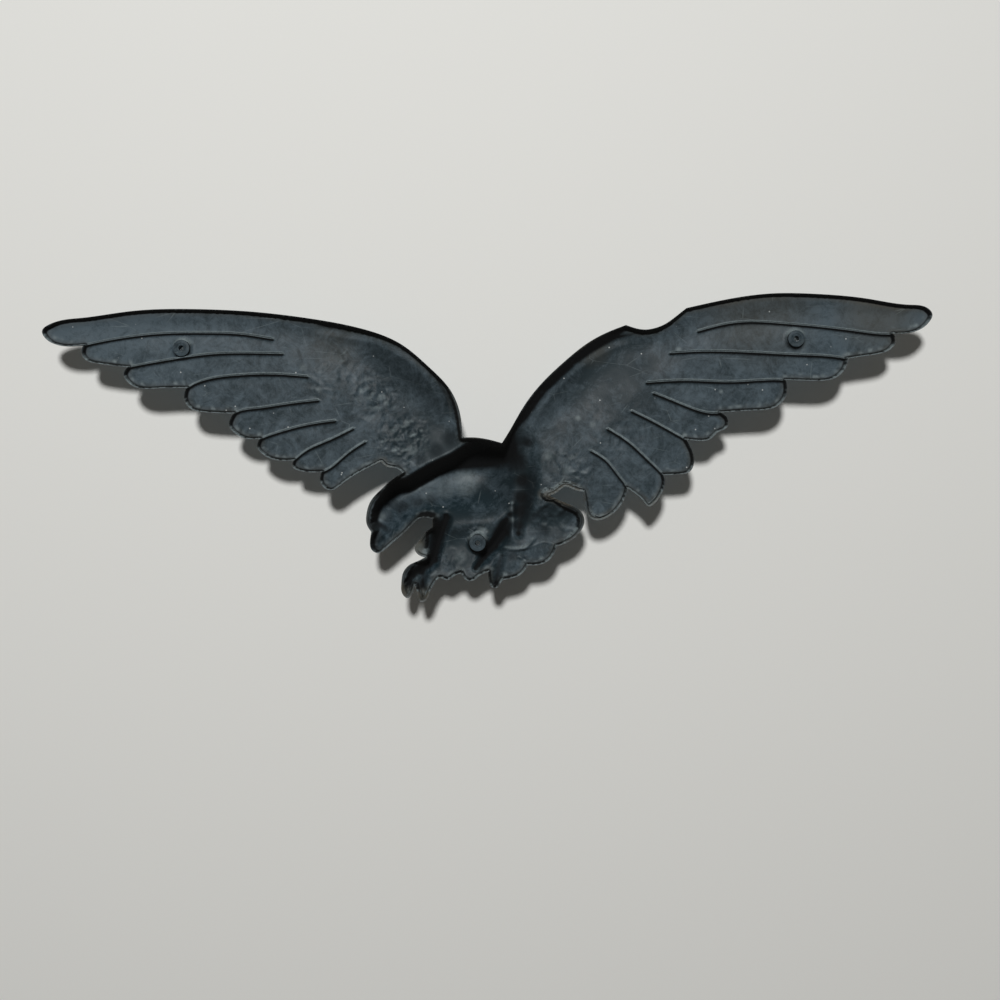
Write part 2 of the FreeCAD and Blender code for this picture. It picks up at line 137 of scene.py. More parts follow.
LEFT_WING_CURVES_PX = [
    [(558, 491.5), (565, 486.6), (574, 489.5), (583.3, 491.5)],
    [(585, 505), (590.5, 518), (595, 520), (605, 518.5), (617, 510), (625, 498), (628, 488.5)],
    [(637, 495), (643.5, 501.5), (648.5, 506.5), (655, 503), (661.5, 494), (665, 482), (664, 475)],
    [(680, 474.3), (690.5, 471), (694, 463), (692, 450), (686.5, 439.5)],
    [(700, 440.8), (711, 438.6), (719, 431.5), (727, 427.3), (728, 419), (721.5, 412.5)],
    [(755, 410.3), (773, 408), (784, 400), (787.5, 389), (786.5, 380)],
    [(812, 380.7), (832, 379), (843, 372), (847.5, 363), (848.7, 358.5)],
    [(864, 356), (880, 353.5), (891, 348.8), (896, 341), (894, 333.5)],
    [(908, 333), (921, 329), (930, 321), (932.5, 314.5), (929, 309), (910, 304.7), (870, 299),
     (815, 293.8), (770, 293.5), (730, 298.7), (686.5, 308)],
    [(677, 315.5), (665, 324), (655, 328), (645, 329.5), (626, 325)],
    [(608, 332), (590, 341.5), (565, 361), (541, 384), (523, 407.5), (510, 430)],
]
HEAD_CURVES_PX = [
    [(394, 478), (381, 489.5), (371, 500.5), (366.5, 514), (367, 525), (371.3, 532)],
    [(370, 541), (371.5, 549.5), (377, 553), (383.5, 550.5), (393, 542.5), (404, 533), (413, 523.5),
     (421, 517.6)],
]
FRONT_LEG_CURVES_PX = [
    [(432, 527.5)],
    [(425, 532.5), (418.5, 541.5), (414.7, 548.5), (418, 554.5), (425, 557.5)],
    [(418, 561), (409, 565.3), (403, 573), (401.3, 584), (402.5, 594), (407.5, 598), (411.5, 595),
     (415, 585)],
    [(417.7, 596), (421, 602), (425.5, 600.5), (430, 592)],
]
BELLY_CURVE_PX = [(440, 578), (446.5, 580), (455, 575.5)]
REAR_LEG_CURVES_PX = [
    [(466, 580), (472, 580.8), (480, 575.5), (488, 572)],
    [(489, 582), (492, 587.3), (497, 587.8), (500.5, 583.5)],
]
TAIL_CURVES_PX = [
    [(513, 577.8), (522, 573.7), (528, 565.3)],
    [(540, 564.5), (550, 559.3), (557, 546.3)],
    [(570, 541), (580, 532), (584.4, 520), (580.5, 511), (570, 504.5), (559, 500)],
]
BODY_TOP_CURVE_PX = [(490, 439.8), (476, 437.5)]
RIM_PITCH = 0.6
SEAM_PITCH = 0.8


def rims(curves_px, end_px):
    """Rim stretches, the last of them running on to a corner that sections share."""
    stretches = [("rim", list(curve_px)) for curve_px in curves_px]
    stretches[-1][1].append(end_px)
    return stretches


SECTIONS = {
    "right_wing": (NECK_NOTCH_PX, rims(RIGHT_WING_CURVES_PX, NAPE_PX) + [("seam", [NECK_NOTCH_PX])]),
    "head": (NAPE_PX, rims(HEAD_CURVES_PX, THROAT_PX) + [("seam", [NAPE_PX])]),
    "front_leg": (THROAT_PX, rims(FRONT_LEG_CURVES_PX, LEG_FOOT_PX)
                  + [("seam", LEG_SEAM_PX + [THROAT_PX])]),
    "rear_leg": (TOE_NOTCH_PX, rims(REAR_LEG_CURVES_PX, TAIL_FOOT_PX)
                 + [("seam", REAR_LEG_SEAM_PX[::-1] + [TOE_NOTCH_PX])]),
    "tail": (TAIL_FOOT_PX, rims(TAIL_CURVES_PX, TAIL_TOP_PX) + [("seam", [TAIL_FOOT_PX])]),
    "left_wing": (TAIL_TOP_PX, rims(LEFT_WING_CURVES_PX, BACK_NOTCH_PX) + [("seam", [TAIL_TOP_PX])]),
    "body": (NECK_NOTCH_PX, [("seam", [NAPE_PX, THROAT_PX] + LEG_SEAM_PX[::-1] + [LEG_FOOT_PX])]
             + rims([BELLY_CURVE_PX], TOE_NOTCH_PX)
             + [("seam", REAR_LEG_SEAM_PX + [TAIL_FOOT_PX, TAIL_TOP_PX, BACK_NOTCH_PX])]
             + rims([BODY_TOP_CURVE_PX], NECK_NOTCH_PX)),
}


def boundary(start_px, stretches):
    """A section's loop of points, and whether the edge that starts at each of them is rim."""
    loop, on_rim = [], []
    here = plan([start_px])[0]
    for kind, points_px in stretches:
        points = plan(points_px)
        if kind == "rim":
            line = smooth_curve(np.vstack(([here], points)), RIM_PITCH)
            loop.extend(line[:-1])
            on_rim.extend([True] * (len(line) - 1))
            here = points[-1]
            continue
        for point in points:
            count = max(1, math.ceil(np.linalg.norm(point - here) / SEAM_PITCH))
            shares = np.arange(count)[:, None] / count
            loop.extend(here * (1 - shares) + point * shares)
            on_rim.extend([False] * count)
            here = point
    return np.array(loop), np.array(on_rim)


boundaries = {name: boundary(*section) for name, section in SECTIONS.items()}


def tree_of(points):
    tree = KDTree(len(points))
    for index, (x, z) in enumerate(points):
        tree.insert((x, z, 0), index)
    tree.balance()
    return tree


def distances(tree, points):
    return np.array([tree.find((x, z, 0))[2] for x, z in points])


# The rim as a cloud of points, some to each of its edges, to measure distances from.
RIM_PARTS = 4
rim_points = []
for loop, on_rim in boundaries.values():
    ends = np.roll(loop, -1, axis=0)
    for part in range(RIM_PARTS):
        rim_points.append((loop + (ends - loop) * part / RIM_PARTS)[on_rim])
rim_tree = tree_of(np.vstack(rim_points))


FAR = 1e9
TINY = 1e-9
LINE_REACH = 14


def beside(points, line, reach=LINE_REACH):
    """For each point within reach, how far it is from a line, on which side of it, and how far along."""
    away = np.full(len(points), FAR)
    side = np.ones(len(points))
    along = np.zeros(len(points))
    low, high = line.min(axis=0) - reach, line.max(axis=0) + reach
    close = np.flatnonzero(np.all((points > low) & (points < high), axis=1))
    points = points[close]
    least = np.full(len(points), FAR)
    mark = 0.0
    for a, b in zip(line, line[1:]):
        run = b - a
        length = np.hypot(*run)
        share = unit((points - a) @ run / length ** 2)
        off = points - a - share[:, None] * run
        gap = np.hypot(off[:, 0], off[:, 1])
        nearer = gap < least
        least[nearer] = gap[nearer]
        side[close[nearer]] = np.sign(run[0] * off[nearer, 1] - run[1] * off[nearer, 0])
        along[close[nearer]] = mark + share[nearer] * length
        mark += length
    away[close] = least
    return away, side, along


# The relief
# The front rises and falls in smooth crests. Each point of a crest has a place, a depth and a radius.
FEATHER_DEPTH = 5.5
WING_CRESTS = [
    [((52, 331), 5.0, 13), ((140, 328), 6.2, 22), ((280, 330), 7.2, 32), ((350, 350), 9.5, 34),
     ((436, 425), 12.5, 38)],
    [((922, 318), 5.0, 13), ((800, 312), 6.2, 22), ((690, 332), 7.2, 32), ((620, 355), 9.5, 36),
     ((530, 440), 12.5, 40)],
]
BODY_CRESTS = [
    [((375, 545), 9, 9), ((379, 522), 19, 16), ((393, 501), 27, 24), ((416, 486), 27, 32),
     ((448, 474), 32.5, 38), ((480, 472), 32.5, 40)],
    [((450, 545), 12.5, 30), ((490, 532), 12.5, 28)],
    [((445, 518), 17, 8), ((438, 540), 17, 8), ((433, 560), 14.5, 7.5), ((421, 572), 10, 7),
     ((410, 578), 10, 6), ((406, 592), 7, 4.5)],
    [((421, 572), 10, 7), ((423, 597), 7, 4.5)],
    [((510, 518), 13, 10), ((504, 532), 16.5, 9), ((494, 546), 16.5, 8), ((484, 556), 14, 7.5),
     ((476, 568), 9, 5)],
    [((500, 556), 8.5, 8), ((496, 583), 7, 5.5)],
    [((528, 448), 12.5, 14), ((524, 478), 16.5, 13), ((521, 506), 15.5, 11), ((518, 532), 11, 8)],
    [((530, 525), 8.5, 20), ((568, 523), 8.5, 24)],
]
# Along this line the body starts to rise out of the wing roots.
ROOT_LINE_PX = [(500, 425), (462, 437.5), (447, 448), (425, 459), (402.5, 473), (380, 476)]
ROOT_SLOPE_RUN = 13.0
ROOT_REACH = 80
# Further off than that, what is lower than this height is below the line.
ROOT_HEIGHT = 20
CREST_SHARPNESS = 5
CREST_FALL = 0.7


def relief_depth(points):
    """How far the front stands off the wall, before its feathers are carved."""
    away, side, along = beside(points, plan(ROOT_LINE_PX), ROOT_REACH)
    side[away == FAR] = np.where(points[away == FAR, 1] < ROOT_HEIGHT, -1, 1)
    below = unit(-side * np.minimum(away, ROOT_SLOPE_RUN) / ROOT_SLOPE_RUN)
    below = below * below * (3 - 2 * below)
    total = np.full(len(points), FEATHER_DEPTH ** CREST_SHARPNESS)
    for crest in WING_CRESTS + BODY_CRESTS:
        best = np.zeros(len(points))
        for (place_a, depth_a, radius_a), (place_b, depth_b, radius_b) in zip(crest, crest[1:]):
            a, b = plan([place_a, place_b])
            share = unit((points - a) @ (b - a) / np.sum((b - a) ** 2))
            away = np.linalg.norm(points - a - share[:, None] * (b - a), axis=1)
            radius = (radius_a + share * (radius_b - radius_a)) * px_mm
            depth = depth_a + share * (depth_b - depth_a)
            best = np.maximum(best, depth * np.exp(-CREST_FALL * (away / radius) ** 2))
        if crest in BODY_CRESTS:
            best *= below
        total += best ** CREST_SHARPNESS
    return total ** (1 / CREST_SHARPNESS)


# The flight feathers
# Between two feathers runs a line: a groove in front and a ridge behind, round at its inner end.
DIVIDERS_PX = [
    [(271, 338), (240, 333.3), (205, 332), (160, 332.8), (120, 337.5), (88, 343.8), (83, 345)],
    [(281, 353), (250, 352.5), (215, 353.2), (175, 358.3), (132, 366), (127, 367)],
    [(306, 376), (270, 373.7), (235, 375), (208, 378.7), (190, 385.5), (186, 388)],
    [(317, 400), (285, 403.8), (255, 408.2), (237, 411.5), (233, 413.5)],
    [(334, 420.5), (305, 425), (282, 431), (264, 437), (259, 439)],
    [(352, 428.5), (325, 441.5), (305, 451), (296, 458), (293, 460.5)],
    [(364, 442), (345, 455), (326, 470), (321, 472)],
    [(700, 330), (723, 324), (745, 321), (780, 322.3), (820, 326), (860, 331), (890, 333.7), (894, 333.5)],
    [(672, 352), (700, 350.7), (750, 351.8), (800, 354.3), (845, 357.8), (848.7, 358.5)],
    [(648, 382), (685, 380.2), (735, 381.5), (782, 379.7), (786.5, 380)],
    [(655, 393), (675, 401), (695, 409), (717, 413), (721.5, 412.5)],
    [(633, 411), (655, 422), (682, 437), (686.5, 439.5)],
    [(609, 429), (630, 442.8), (645, 456.5), (660.5, 471.5), (664, 475)],
    [(592, 451), (607, 461), (618, 474.5), (626, 485), (628, 488.5)],
    [(524, 549.5), (532, 546.8), (543, 542.5), (554, 544.8), (557, 546.3)],
    [(518.5, 557.5), (523, 559.5), (526.3, 563), (528, 565.3)],
]
# Down the middle of each feather runs its shaft, raised on the front only.
SHAFTS_PX = [
    [(275, 329), (220, 321), (160, 320), (100, 327), (52, 335)],
    [(278, 345), (235, 342), (180, 344), (130, 350), (88, 355)],
    [(294, 364), (250, 362.5), (200, 366), (160, 374), (130, 379)],
    [(314, 388), (270, 389), (235, 393), (190, 402)],
    [(327, 410), (290, 415), (260, 421), (234, 430)],
    [(345, 425), (310, 437), (285, 446), (264, 453)],
    [(360, 436), (330, 452), (312, 461), (299, 468)],
    [(376, 450), (352, 464), (328, 485)],
    [(705, 318), (740, 309), (790, 307), (860, 313), (927, 316)],
    [(685, 341), (720, 336), (790, 339), (850, 345), (890, 344)],
    [(660, 367), (700, 365), (760, 366), (800, 368), (841, 369)],
    [(655, 388), (695, 393), (735, 396), (782, 396)],
    [(645, 402), (670, 413), (700, 425), (722, 428)],
    [(622, 420), (645, 435), (668, 450), (690, 462)],
    [(601, 440), (620, 455), (638, 473), (652, 500)],
    [(588, 462), (598, 482), (606, 510)],
    [(530, 530), (550, 527), (582, 520)],
    [(523, 551), (536, 550), (550, 556)],
    [(511, 560), (516, 567), (520, 573)],
]
LINE_PITCH = 0.6


def curve(line_px, pitch=LINE_PITCH):
    return smooth_curve(plan(line_px), pitch)


dividers = [curve(line_px) for line_px in DIVIDERS_PX]
shafts = [curve(line_px) for line_px in SHAFTS_PX]


def beside_divider(points, line):
    """How far each point is from a divider, and whether it is above (1) or below it (-1)."""
    away, side, along = beside(points, line)
    return away, side * np.sign(line[-1][0] - line[0][0])


# The small feathers
# They lie in rows like tiles, with each row's tips over the next row. Each group has its count of rows, of
# feathers in a row, and guides that run across the rows, from the outermost row inwards.
SMALL_FEATHERS = [
    (10, 12, [[(262, 318), (268, 335), (278, 352), (303, 375), (315, 399), (332, 420), (351, 430),
               (366, 444), (384, 458)],
              [(330, 326), (340, 340), (352, 358), (365, 378), (378, 400), (390, 420), (404, 440)],
              [(392, 345), (410, 358), (424, 374), (436, 392), (444, 410), (448, 428), (450, 442)]]),
    (10, 13, [[(722, 303), (702, 328), (675, 350), (652, 380), (648, 395), (632, 412), (608, 430),
               (592, 452), (580, 482)],
              [(655, 333), (640, 348), (625, 365), (608, 385), (592, 405), (575, 425), (560, 447),
               (548, 475)],
              [(605, 338), (585, 352), (565, 370), (545, 392), (532, 412), (522, 432), (512, 450)]]),
    (12, 8, [[(548, 503), (541, 530), (527, 552), (508, 572)],
             [(515, 450), (507, 500), (492, 545), (470, 570)],
             [(472, 443), (462, 480), (454, 520), (448, 560)],
             [(418, 468), (424, 490), (432, 514)],
             [(392, 486), (402, 500), (414, 517)]]),
    (4, 6, [[(397, 482), (406, 498), (418, 514)],
            [(386, 491), (395, 506), (406, 523)],
            [(377, 503), (386, 513), (395, 528)]]),
]
TILE_LENGTH_SHARE = 2.1
TILE_WIDTH_SHARE = 0.62
TIP_SHARE = 0.5
TILE_CROWN = 0.25
BARB_SLANT = 0.8
# Every other row is half a feather further along.
ROW_SHIFTS = (0.25, 0.75)


def resampled(line, count, shift):
    """Evenly spaced points along a line, a share of a step on from its start."""
    marks = np.concatenate(([0], np.cumsum(np.linalg.norm(np.diff(line, axis=0), axis=1))))
    places = (np.arange(count) + shift) / count * marks[-1]
    return np.column_stack([np.interp(places, marks, line[:, axis]) for axis in (0, 1)])


def place_on(line, share):
    """The place at a share of a line."""
    marks = np.linspace(0, 1, len(line))
    return np.array([np.interp(share, marks, line[:, axis]) for axis in (0, 1)])


def tile_rows(rows, count, guides_px):
    """Tips, directions, lengths and half widths of the small feathers between some guides."""
    guides = [curve(guide_px) for guide_px in guides_px]
    step = 1 / rows
    found = []
    for row in range(rows):
        columns = [resampled(guide, count, ROW_SHIFTS[row % 2]) for guide in guides]
        for column in range(count):
            lane, next_lane = (smooth_curve([points[index] for points in columns], LINE_PITCH)
                               for index in (column, column - 1 if column else 1))
            tip = place_on(lane, row * step)
            run = tip - place_on(lane, min(1, (row + 1) * step))
            spacing = np.hypot(*run)
            width = np.hypot(*(tip - place_on(next_lane, row * step)))
            found.append((tip, run / spacing, spacing * TILE_LENGTH_SHARE, width * TILE_WIDTH_SHARE))
    return found


tiles = [tile for rows, count, guides_px in SMALL_FEATHERS for tile in tile_rows(rows, count, guides_px)]


def tile_relief(points, softness):
    """How high the small feathers stand, 0 to 1, which of them is on top, and the run of its barbs."""
    height = np.zeros(len(points))
    top = np.full(len(points), -1)
    barb = np.zeros(len(points))
    for index, (tip, way, length, half_width) in enumerate(tiles):
        near = np.flatnonzero(np.hypot(*(points - tip + way * length / 2).T) < length / 2 + half_width)
        off = points[near] - tip
        run = off @ way + length
        across = np.abs(off @ np.array((-way[1], way[0])))
        past = np.maximum(0, run - length * (1 - TIP_SHARE)) / (length * TIP_SHARE)
        inner = 1 - np.hypot(across / half_width, past)
        level = unit(run / length) * unit(inner / softness)
        level -= TILE_CROWN * (across / half_width) ** 2 * (level > 0)
        higher = (level > height[near]) & (run > 0)
        chosen = near[higher]
        height[chosen] = level[higher]
        top[chosen] = index
        barb[chosen] = run[higher] - BARB_SLANT * across[higher]
    return height, top, barb


# The rim and its flash
# The rim is a narrow flat land. Where the mould leaked, it is wider, ragged and paler.
RIM_LAND = 0.85
LAND_FALL = 0.21
FLASH_PX = [(384, 465, 9, 0.5), (562, 489, 16, 2.0), (545, 492, 10, 4.0), (600, 517, 12, 0.6),
            (655, 503, 12, 0.6), (419, 547, 9, 0.5), (484, 439, 20, 0.4)]
# A spot is full up to this share of its radius, and gone from the other on.
SPOT_CORE, SPOT_END = 0.5, 4 / 3


def spots(points, places):
    """The strongest of some round spots at each point. A spot is its place, radius and strength."""
    spread = np.zeros(len(points))
    for x, y, radius_px, strength in places:
        away = away_from(points, (x, y)) / (radius_px * px_mm)
        spread = np.maximum(spread, strength * fade(away, SPOT_END, SPOT_CORE))
    return spread


def ragged(points, size, seed):
    """Smooth noise from -1 to 1, with lumps of about a size."""
    return np.array([noise.noise(Vector((x / size, z / size, seed))) for x, z in points])


# Wider stretches of rim, each a place, a radius and the extra width.
WIDE_RIM_PX = [(370, 508, 22, 2.6), (460, 412, 22, 1.0), (574, 504, 14, 2.4), (584, 519, 12, 2.6),
               (576, 535, 11, 1.8), (419, 547, 12, 5.0), (405, 572, 10, 2.2), (403, 590, 9, 1.8),
               (424, 598, 8, 1.8)]
# Stretches where the hollow's wall slopes instead of standing steep.
SLOPED_WALL_PX = [(590, 345, 34, 1), (560, 372, 30, 1), (532, 402, 26, 0.8)]
SLOPED_REACH = 6.2
# A shallow channel follows the leading edges, and its inner side catches the light.
CHANNELS_PX = [
    [(450, 425), (448.5, 402), (440, 384), (423, 362.5), (402, 347), (381, 336), (350, 328.5), (310, 323)],
    [(640, 332), (620, 335.5), (600, 344.5), (580, 357.5), (560, 374), (543, 393.5), (530, 412), (522, 430)],
]
CHANNEL_DEPTH = 0.75
CHANNEL_TAPER = 14.0
# How far outwards from its line the channel starts, is deep, starts to end and is over.
CHANNEL_START, CHANNEL_DEEP, CHANNEL_FADE, CHANNEL_END = -0.6, 0.5, 2, 6
CHANNEL_INNER = 0.6
COARSE_PITCH = 1.2
channels = [curve(line_px, COARSE_PITCH) for line_px in CHANNELS_PX]
# The face and the talons, cut into the front: the eye and its lid, the brow, the mouth, the cere, the
# nostril and the line where each talon leaves its toe. A cut is a line and its depth.
EYE_PX = (380, 518)
EYE_RADIUS = 1.6
LID_RADIUS = 2.3
BROW_PX = [(372.5, 522), (378, 513.5), (388, 510)]
NOSTRIL_PX = (375.5, 537.5)
CUTS_PX = [
    ([(377.5, 549), (381, 542), (386, 534), (391.5, 528)], 0.8),
    ([(371.5, 531.5), (377, 531), (384, 536)], 0.9),
    ([(402, 588), (405, 586.5), (409, 588)], 0.7),
    ([(417, 590), (421.5, 588.5), (427, 591)], 0.7),
    ([(491, 576), (496, 574.5), (501, 576)], 0.7),
]
BROW_RISE, BROW_WIDTH = 1.3, 1.1
EYE_RISE = 0.6
LID_CUT, LID_WIDTH = 0.8, 0.45
NOSTRIL_CUT, NOSTRIL_WIDTH = 0.8, 0.7
CUT_WIDTH = 0.55
brow = curve(BROW_PX)
cuts = [(curve(line_px), deep) for line_px, deep in CUTS_PX]
# Where the back is lumpy, from the feathers of the front.
LUMPS_PX = [(402, 440, 26, 1.5), (372, 396, 24, 1.2), (330, 370, 30, 0.6), (568, 468, 24, 0.8),
            (610, 430, 40, 0.25), (545, 515, 22, 0.5), (570, 520, 16, 0.4), (452, 560, 14, 1),
            (520, 560, 12, 0.7), (478, 533, 9, 0.7)]
# Low folds that stand up from the floor of the hollow, each a line, a rise in mm and a radius in mm.
FOLDS_PX = [
    ([(383, 524), (396, 508), (414, 496), (436, 489)], 1.2, 5.5),
    ([(512, 505), (512.5, 520), (510, 534)], 1.6, 1.8),
    ([(545, 505), (536, 512), (538, 522), (548, 528)], 0.4, 1.6),
    ([(566, 508), (558, 516), (561, 527), (572, 530)], 0.35, 1.6),
    ([(505, 549), (516, 549.5), (527, 547), (533, 540)], 0.9, 1.2),
    ([(469, 534), (474, 530), (481, 530), (487, 535)], 0.5, 0.9),
]
folds = [(curve(line_px, COARSE_PITCH), rise, radius) for line_px, rise, radius in FOLDS_PX]


def channel_form(points):
    """How far the channel drops the floor, and how near its inner side is, 0 to 1."""
    drop, inner = np.zeros((2, len(points)))
    for line in channels:
        away, side, along = beside(points, line)
        out = -away * side
        length = np.linalg.norm(np.diff(line, axis=0), axis=1).sum()
        taper = unit(np.minimum(along, length - along) / CHANNEL_TAPER)
        deep = fade(out, CHANNEL_START, CHANNEL_DEEP) * fade(out, CHANNEL_END, CHANNEL_FADE)
        drop = np.maximum(drop, taper * deep)
        inner = np.maximum(inner, taper * bell(out, CHANNEL_INNER))
    return CHANNEL_DEPTH * drop, inner


FACE_WALL = 2.2
# The ridges between the feathers, with a soft upper and a full lower side. Those of the tail are low.
RIDGE_RISE = 1.7
RIDGE_UPPER = 0.65
RIDGE_LOWER = 0.95
WING_DIVIDERS = 14
TAIL_RIDGE_SHARE = 0.12
# What shows of the small feathers behind: its height, its least share, its middle level and its softness.
GHOST_RISE = 0.12
GHOST_LEAST = 0.25
GHOST_MIDDLE = 0.4
GHOST_SOFTNESS = 0.45
# The floor's waves and lumps, each with a size, a seed and a height.
WAVES = ((13, 3, 0.16), (3.5, 9, 0.05))
LUMPS = ((7, 2, 1.3), (3.2, 8, 0.5))
LUMP_SINK = 0.3
# The posts, and the fillet that the floor climbs up round each.
POSTS_PX = {"right_wing": (181, 348), "left_wing": (796.5, 338.5), "body": ORIGIN_PX}
POST_RADIUS = 5.7
HOLE_RADIUS = 1.7
POST_FILLET = 3.6
FILLET_OVERLAP = 0.4
FILLET_TOP = 1.2
FILLET_BEND = 2.2
# The hollow's wall: how far it reaches inwards, more where it is deep, and how round its foot is.
WALL_REACH = 0.5
WALL_LEAN = 0.26
WALL_BEND = 3
SLOPED_BEND = 1.3
# The rim's land: how much its width varies, with the noise's size and seed, how far a wide one sinks, and
# how rough the flash is.
LAND_RAGGED = 0.35
LAND_NOISE = (2.2, 6)
WIDE_SINK = 0.35
FLASH_ROUGH = 0.35
FLASH_NOISE = (0.9, 5)
FLASH_LEVEL = 0.6


def back_depth(points, rim_away):
    """How far the hollow's floor lies from the wall plane."""
    floor = relief_depth(points) - FACE_WALL + channel_form(points)[0]
    height = tile_relief(points, GHOST_SOFTNESS)[0]
    lumps = spots(points, LUMPS_PX)
    ghost = GHOST_LEAST + (1 - GHOST_LEAST) * lumps
    floor += GHOST_RISE * ghost * (height - GHOST_MIDDLE) * (height > 0)
    for size, seed, rise in WAVES:
        floor += rise * ragged(points, size, seed)
    for size, seed, rise in LUMPS:
        floor += lumps * rise * np.abs(ragged(points, size, seed))
    floor -= LUMP_SINK * lumps
    for line, rise, radius in folds:
        floor -= rise * bell(beside(points, line, 3 * radius)[0], radius)
    ridge = np.zeros(len(points))
    for index, line in enumerate(dividers):
        away, side = beside_divider(points, line)
        share = 1 if index < WING_DIVIDERS else TAIL_RIDGE_SHARE
        lower = 1 / (1 + (away / RIDGE_LOWER) ** 4)
        ridge = np.maximum(ridge, share * np.where(side > 0, bell(away, RIDGE_UPPER), lower))
    floor -= RIDGE_RISE * ridge
    for post_px in POSTS_PX.values():
        off = away_from(points, post_px) - POST_RADIUS + FILLET_OVERLAP
        near = np.clip(1 - off / POST_FILLET, 0, FILLET_TOP)
        floor -= np.minimum(POST_FILLET, floor / 2) * near ** FILLET_BEND
    flashed = spots(points, FLASH_PX)
    land = RIM_LAND * (1 + LAND_RAGGED * ragged(points, *LAND_NOISE)) + flashed
    wide = spots(points, WIDE_RIM_PX)
    sloped = spots(points, SLOPED_WALL_PX)
    steep_reach = WALL_REACH + WALL_LEAN * floor
    reach = steep_reach + sloped * (SLOPED_REACH - steep_reach)
    left = 1 - unit((rim_away - land - wide) / reach)
    depth = floor * (1 - left ** (WALL_BEND - SLOPED_BEND * sloped))
    slope = unit((rim_away - land) / np.maximum(wide, 0.1))
    depth += np.minimum(WIDE_SINK * wide, floor / 2) * slope * left
    depth += LAND_FALL * np.minimum(rim_away, land) * left
    rough = unit(flashed) * unit(2 - rim_away / land)
    return np.maximum(0, depth + FLASH_ROUGH * rough * (FLASH_LEVEL + ragged(points, *FLASH_NOISE)))


TILE_RISE = 1.1
TILE_MIDDLE = 0.45
TILE_SOFTNESS = 0.12
GROOVE_DEPTH, GROOVE_WIDTH = 1.1, 0.75
SHAFT_RISE, SHAFT_WIDTH = 0.35, 0.55
# Beside a divider the feather below it dips and the one above it rises, over a reach.
DIP, LIFT, TILT_REACH = 0.45, 0.25, 2.5
# The rounding towards the rim: its width, wider where the front is deep, how much it takes off and its bend.
ROUND_LEAST, ROUND_SHARE, ROUND_DROP, ROUND_BEND = 0.8, 0.28, 0.5, 2.2


def front_depth(points, rim_away):
    """How far the carved front stands off the wall plane."""
    height, top, barb = tile_relief(points, TILE_SOFTNESS)
    smooth = top < 0
    depth = relief_depth(points) + channel_form(points)[0] + TILE_RISE * (height - TILE_MIDDLE) * ~smooth
    groove = np.zeros(len(points))
    for line in dividers:
        away, side = beside_divider(points, line)
        groove = np.maximum(groove, bell(away, GROOVE_WIDTH))
        depth += np.where(side < 0, -DIP, LIFT) * np.exp(-away / TILT_REACH) * smooth
    for line in shafts:
        depth += SHAFT_RISE * bell(beside(points, line)[0], SHAFT_WIDTH) * smooth
    depth += BROW_RISE * bell(beside(points, brow)[0], BROW_WIDTH) - GROOVE_DEPTH * groove * smooth
    for line, deep in cuts:
        depth -= deep * bell(beside(points, line)[0], CUT_WIDTH)
    eye_away = away_from(points, EYE_PX)
    depth += EYE_RISE * np.exp(-(eye_away / EYE_RADIUS) ** 4)
    depth -= LID_CUT * bell(eye_away - LID_RADIUS, LID_WIDTH)
    depth -= NOSTRIL_CUT * bell(away_from(points, NOSTRIL_PX), NOSTRIL_WIDTH)
    left = 1 - unit(rim_away / (ROUND_LEAST + ROUND_SHARE * depth))
    return depth * (1 - ROUND_DROP * left ** ROUND_BEND)


# The skin
# Points are laid along the outline, in rows inside the rim, beside each line and round each hole, and the
# rest of the section is filled evenly. Triangles between them, lifted to these depths, make the two faces.
BACK_ROWS = (0.3, 1.0, 1.45, 1.7, 2.0, 2.4, 2.9, 3.5)
FRONT_ROWS = (0.35, 0.8, 1.4, 2.1, 2.9)
LINE_ROWS = (0, 0.4, 0.75, 1.15, 1.7)
POST_ROWS = (3.4, 5.0, 5.7, 6.3, 7.0, 7.8, 8.7, 9.6)
FRONT_POST_ROWS = (2.6, 3.8)
BACK_PITCH = 0.95
FRONT_PITCH = 0.8
CORNER_STEP = math.radians(20)
# A point of a row may lie a little nearer to the rim than its row does, by a share and a slack.
ROW_SHARE, ROW_SLACK = 0.985, 0.01
FAN_PITCH = 0.2
POINT_GAP = 0.22
GRID_GAP_SHARE = 0.62
HOLE_SIDES = 32
POST_ROW_SIDES = 40
LID_SIDES = 24
SAME_POINT = 1e-5
INSIDE_ONLY = 1


def rim_rows(loop, on_rim, rows):
    """Points at even distances inside the rim, fanned round the corners that point inwards."""
    ways = np.roll(loop, -1, axis=0) - loop
    ways /= np.linalg.norm(ways, axis=1)[:, None]
    inward = np.column_stack((ways[:, 1], -ways[:, 0]))
    found = []
    for index, here in enumerate(loop):
        before, after = inward[index - 1], inward[index]
        if not (on_rim[index - 1] or on_rim[index]):
            continue
        if not on_rim[index - 1]:
            before = after
        if not on_rim[index]:
            after = before
        turn = math.atan2(before[0] * after[1] - before[1] * after[0], before @ after)
        if turn < -CORNER_STEP:
            continue
        count = 1 + int(abs(turn) / CORNER_STEP)
        for step in range(count):
            share = (step + 0.5) / count
            way = before * (1 - share) + after * share
            way /= np.hypot(*way)
            found.extend(here + way * row for row in rows)
    found = np.array(found)
    wanted = np.tile(rows, len(found) // len(rows))
    return found[distances(rim_tree, found) > wanted * ROW_SHARE - ROW_SLACK]


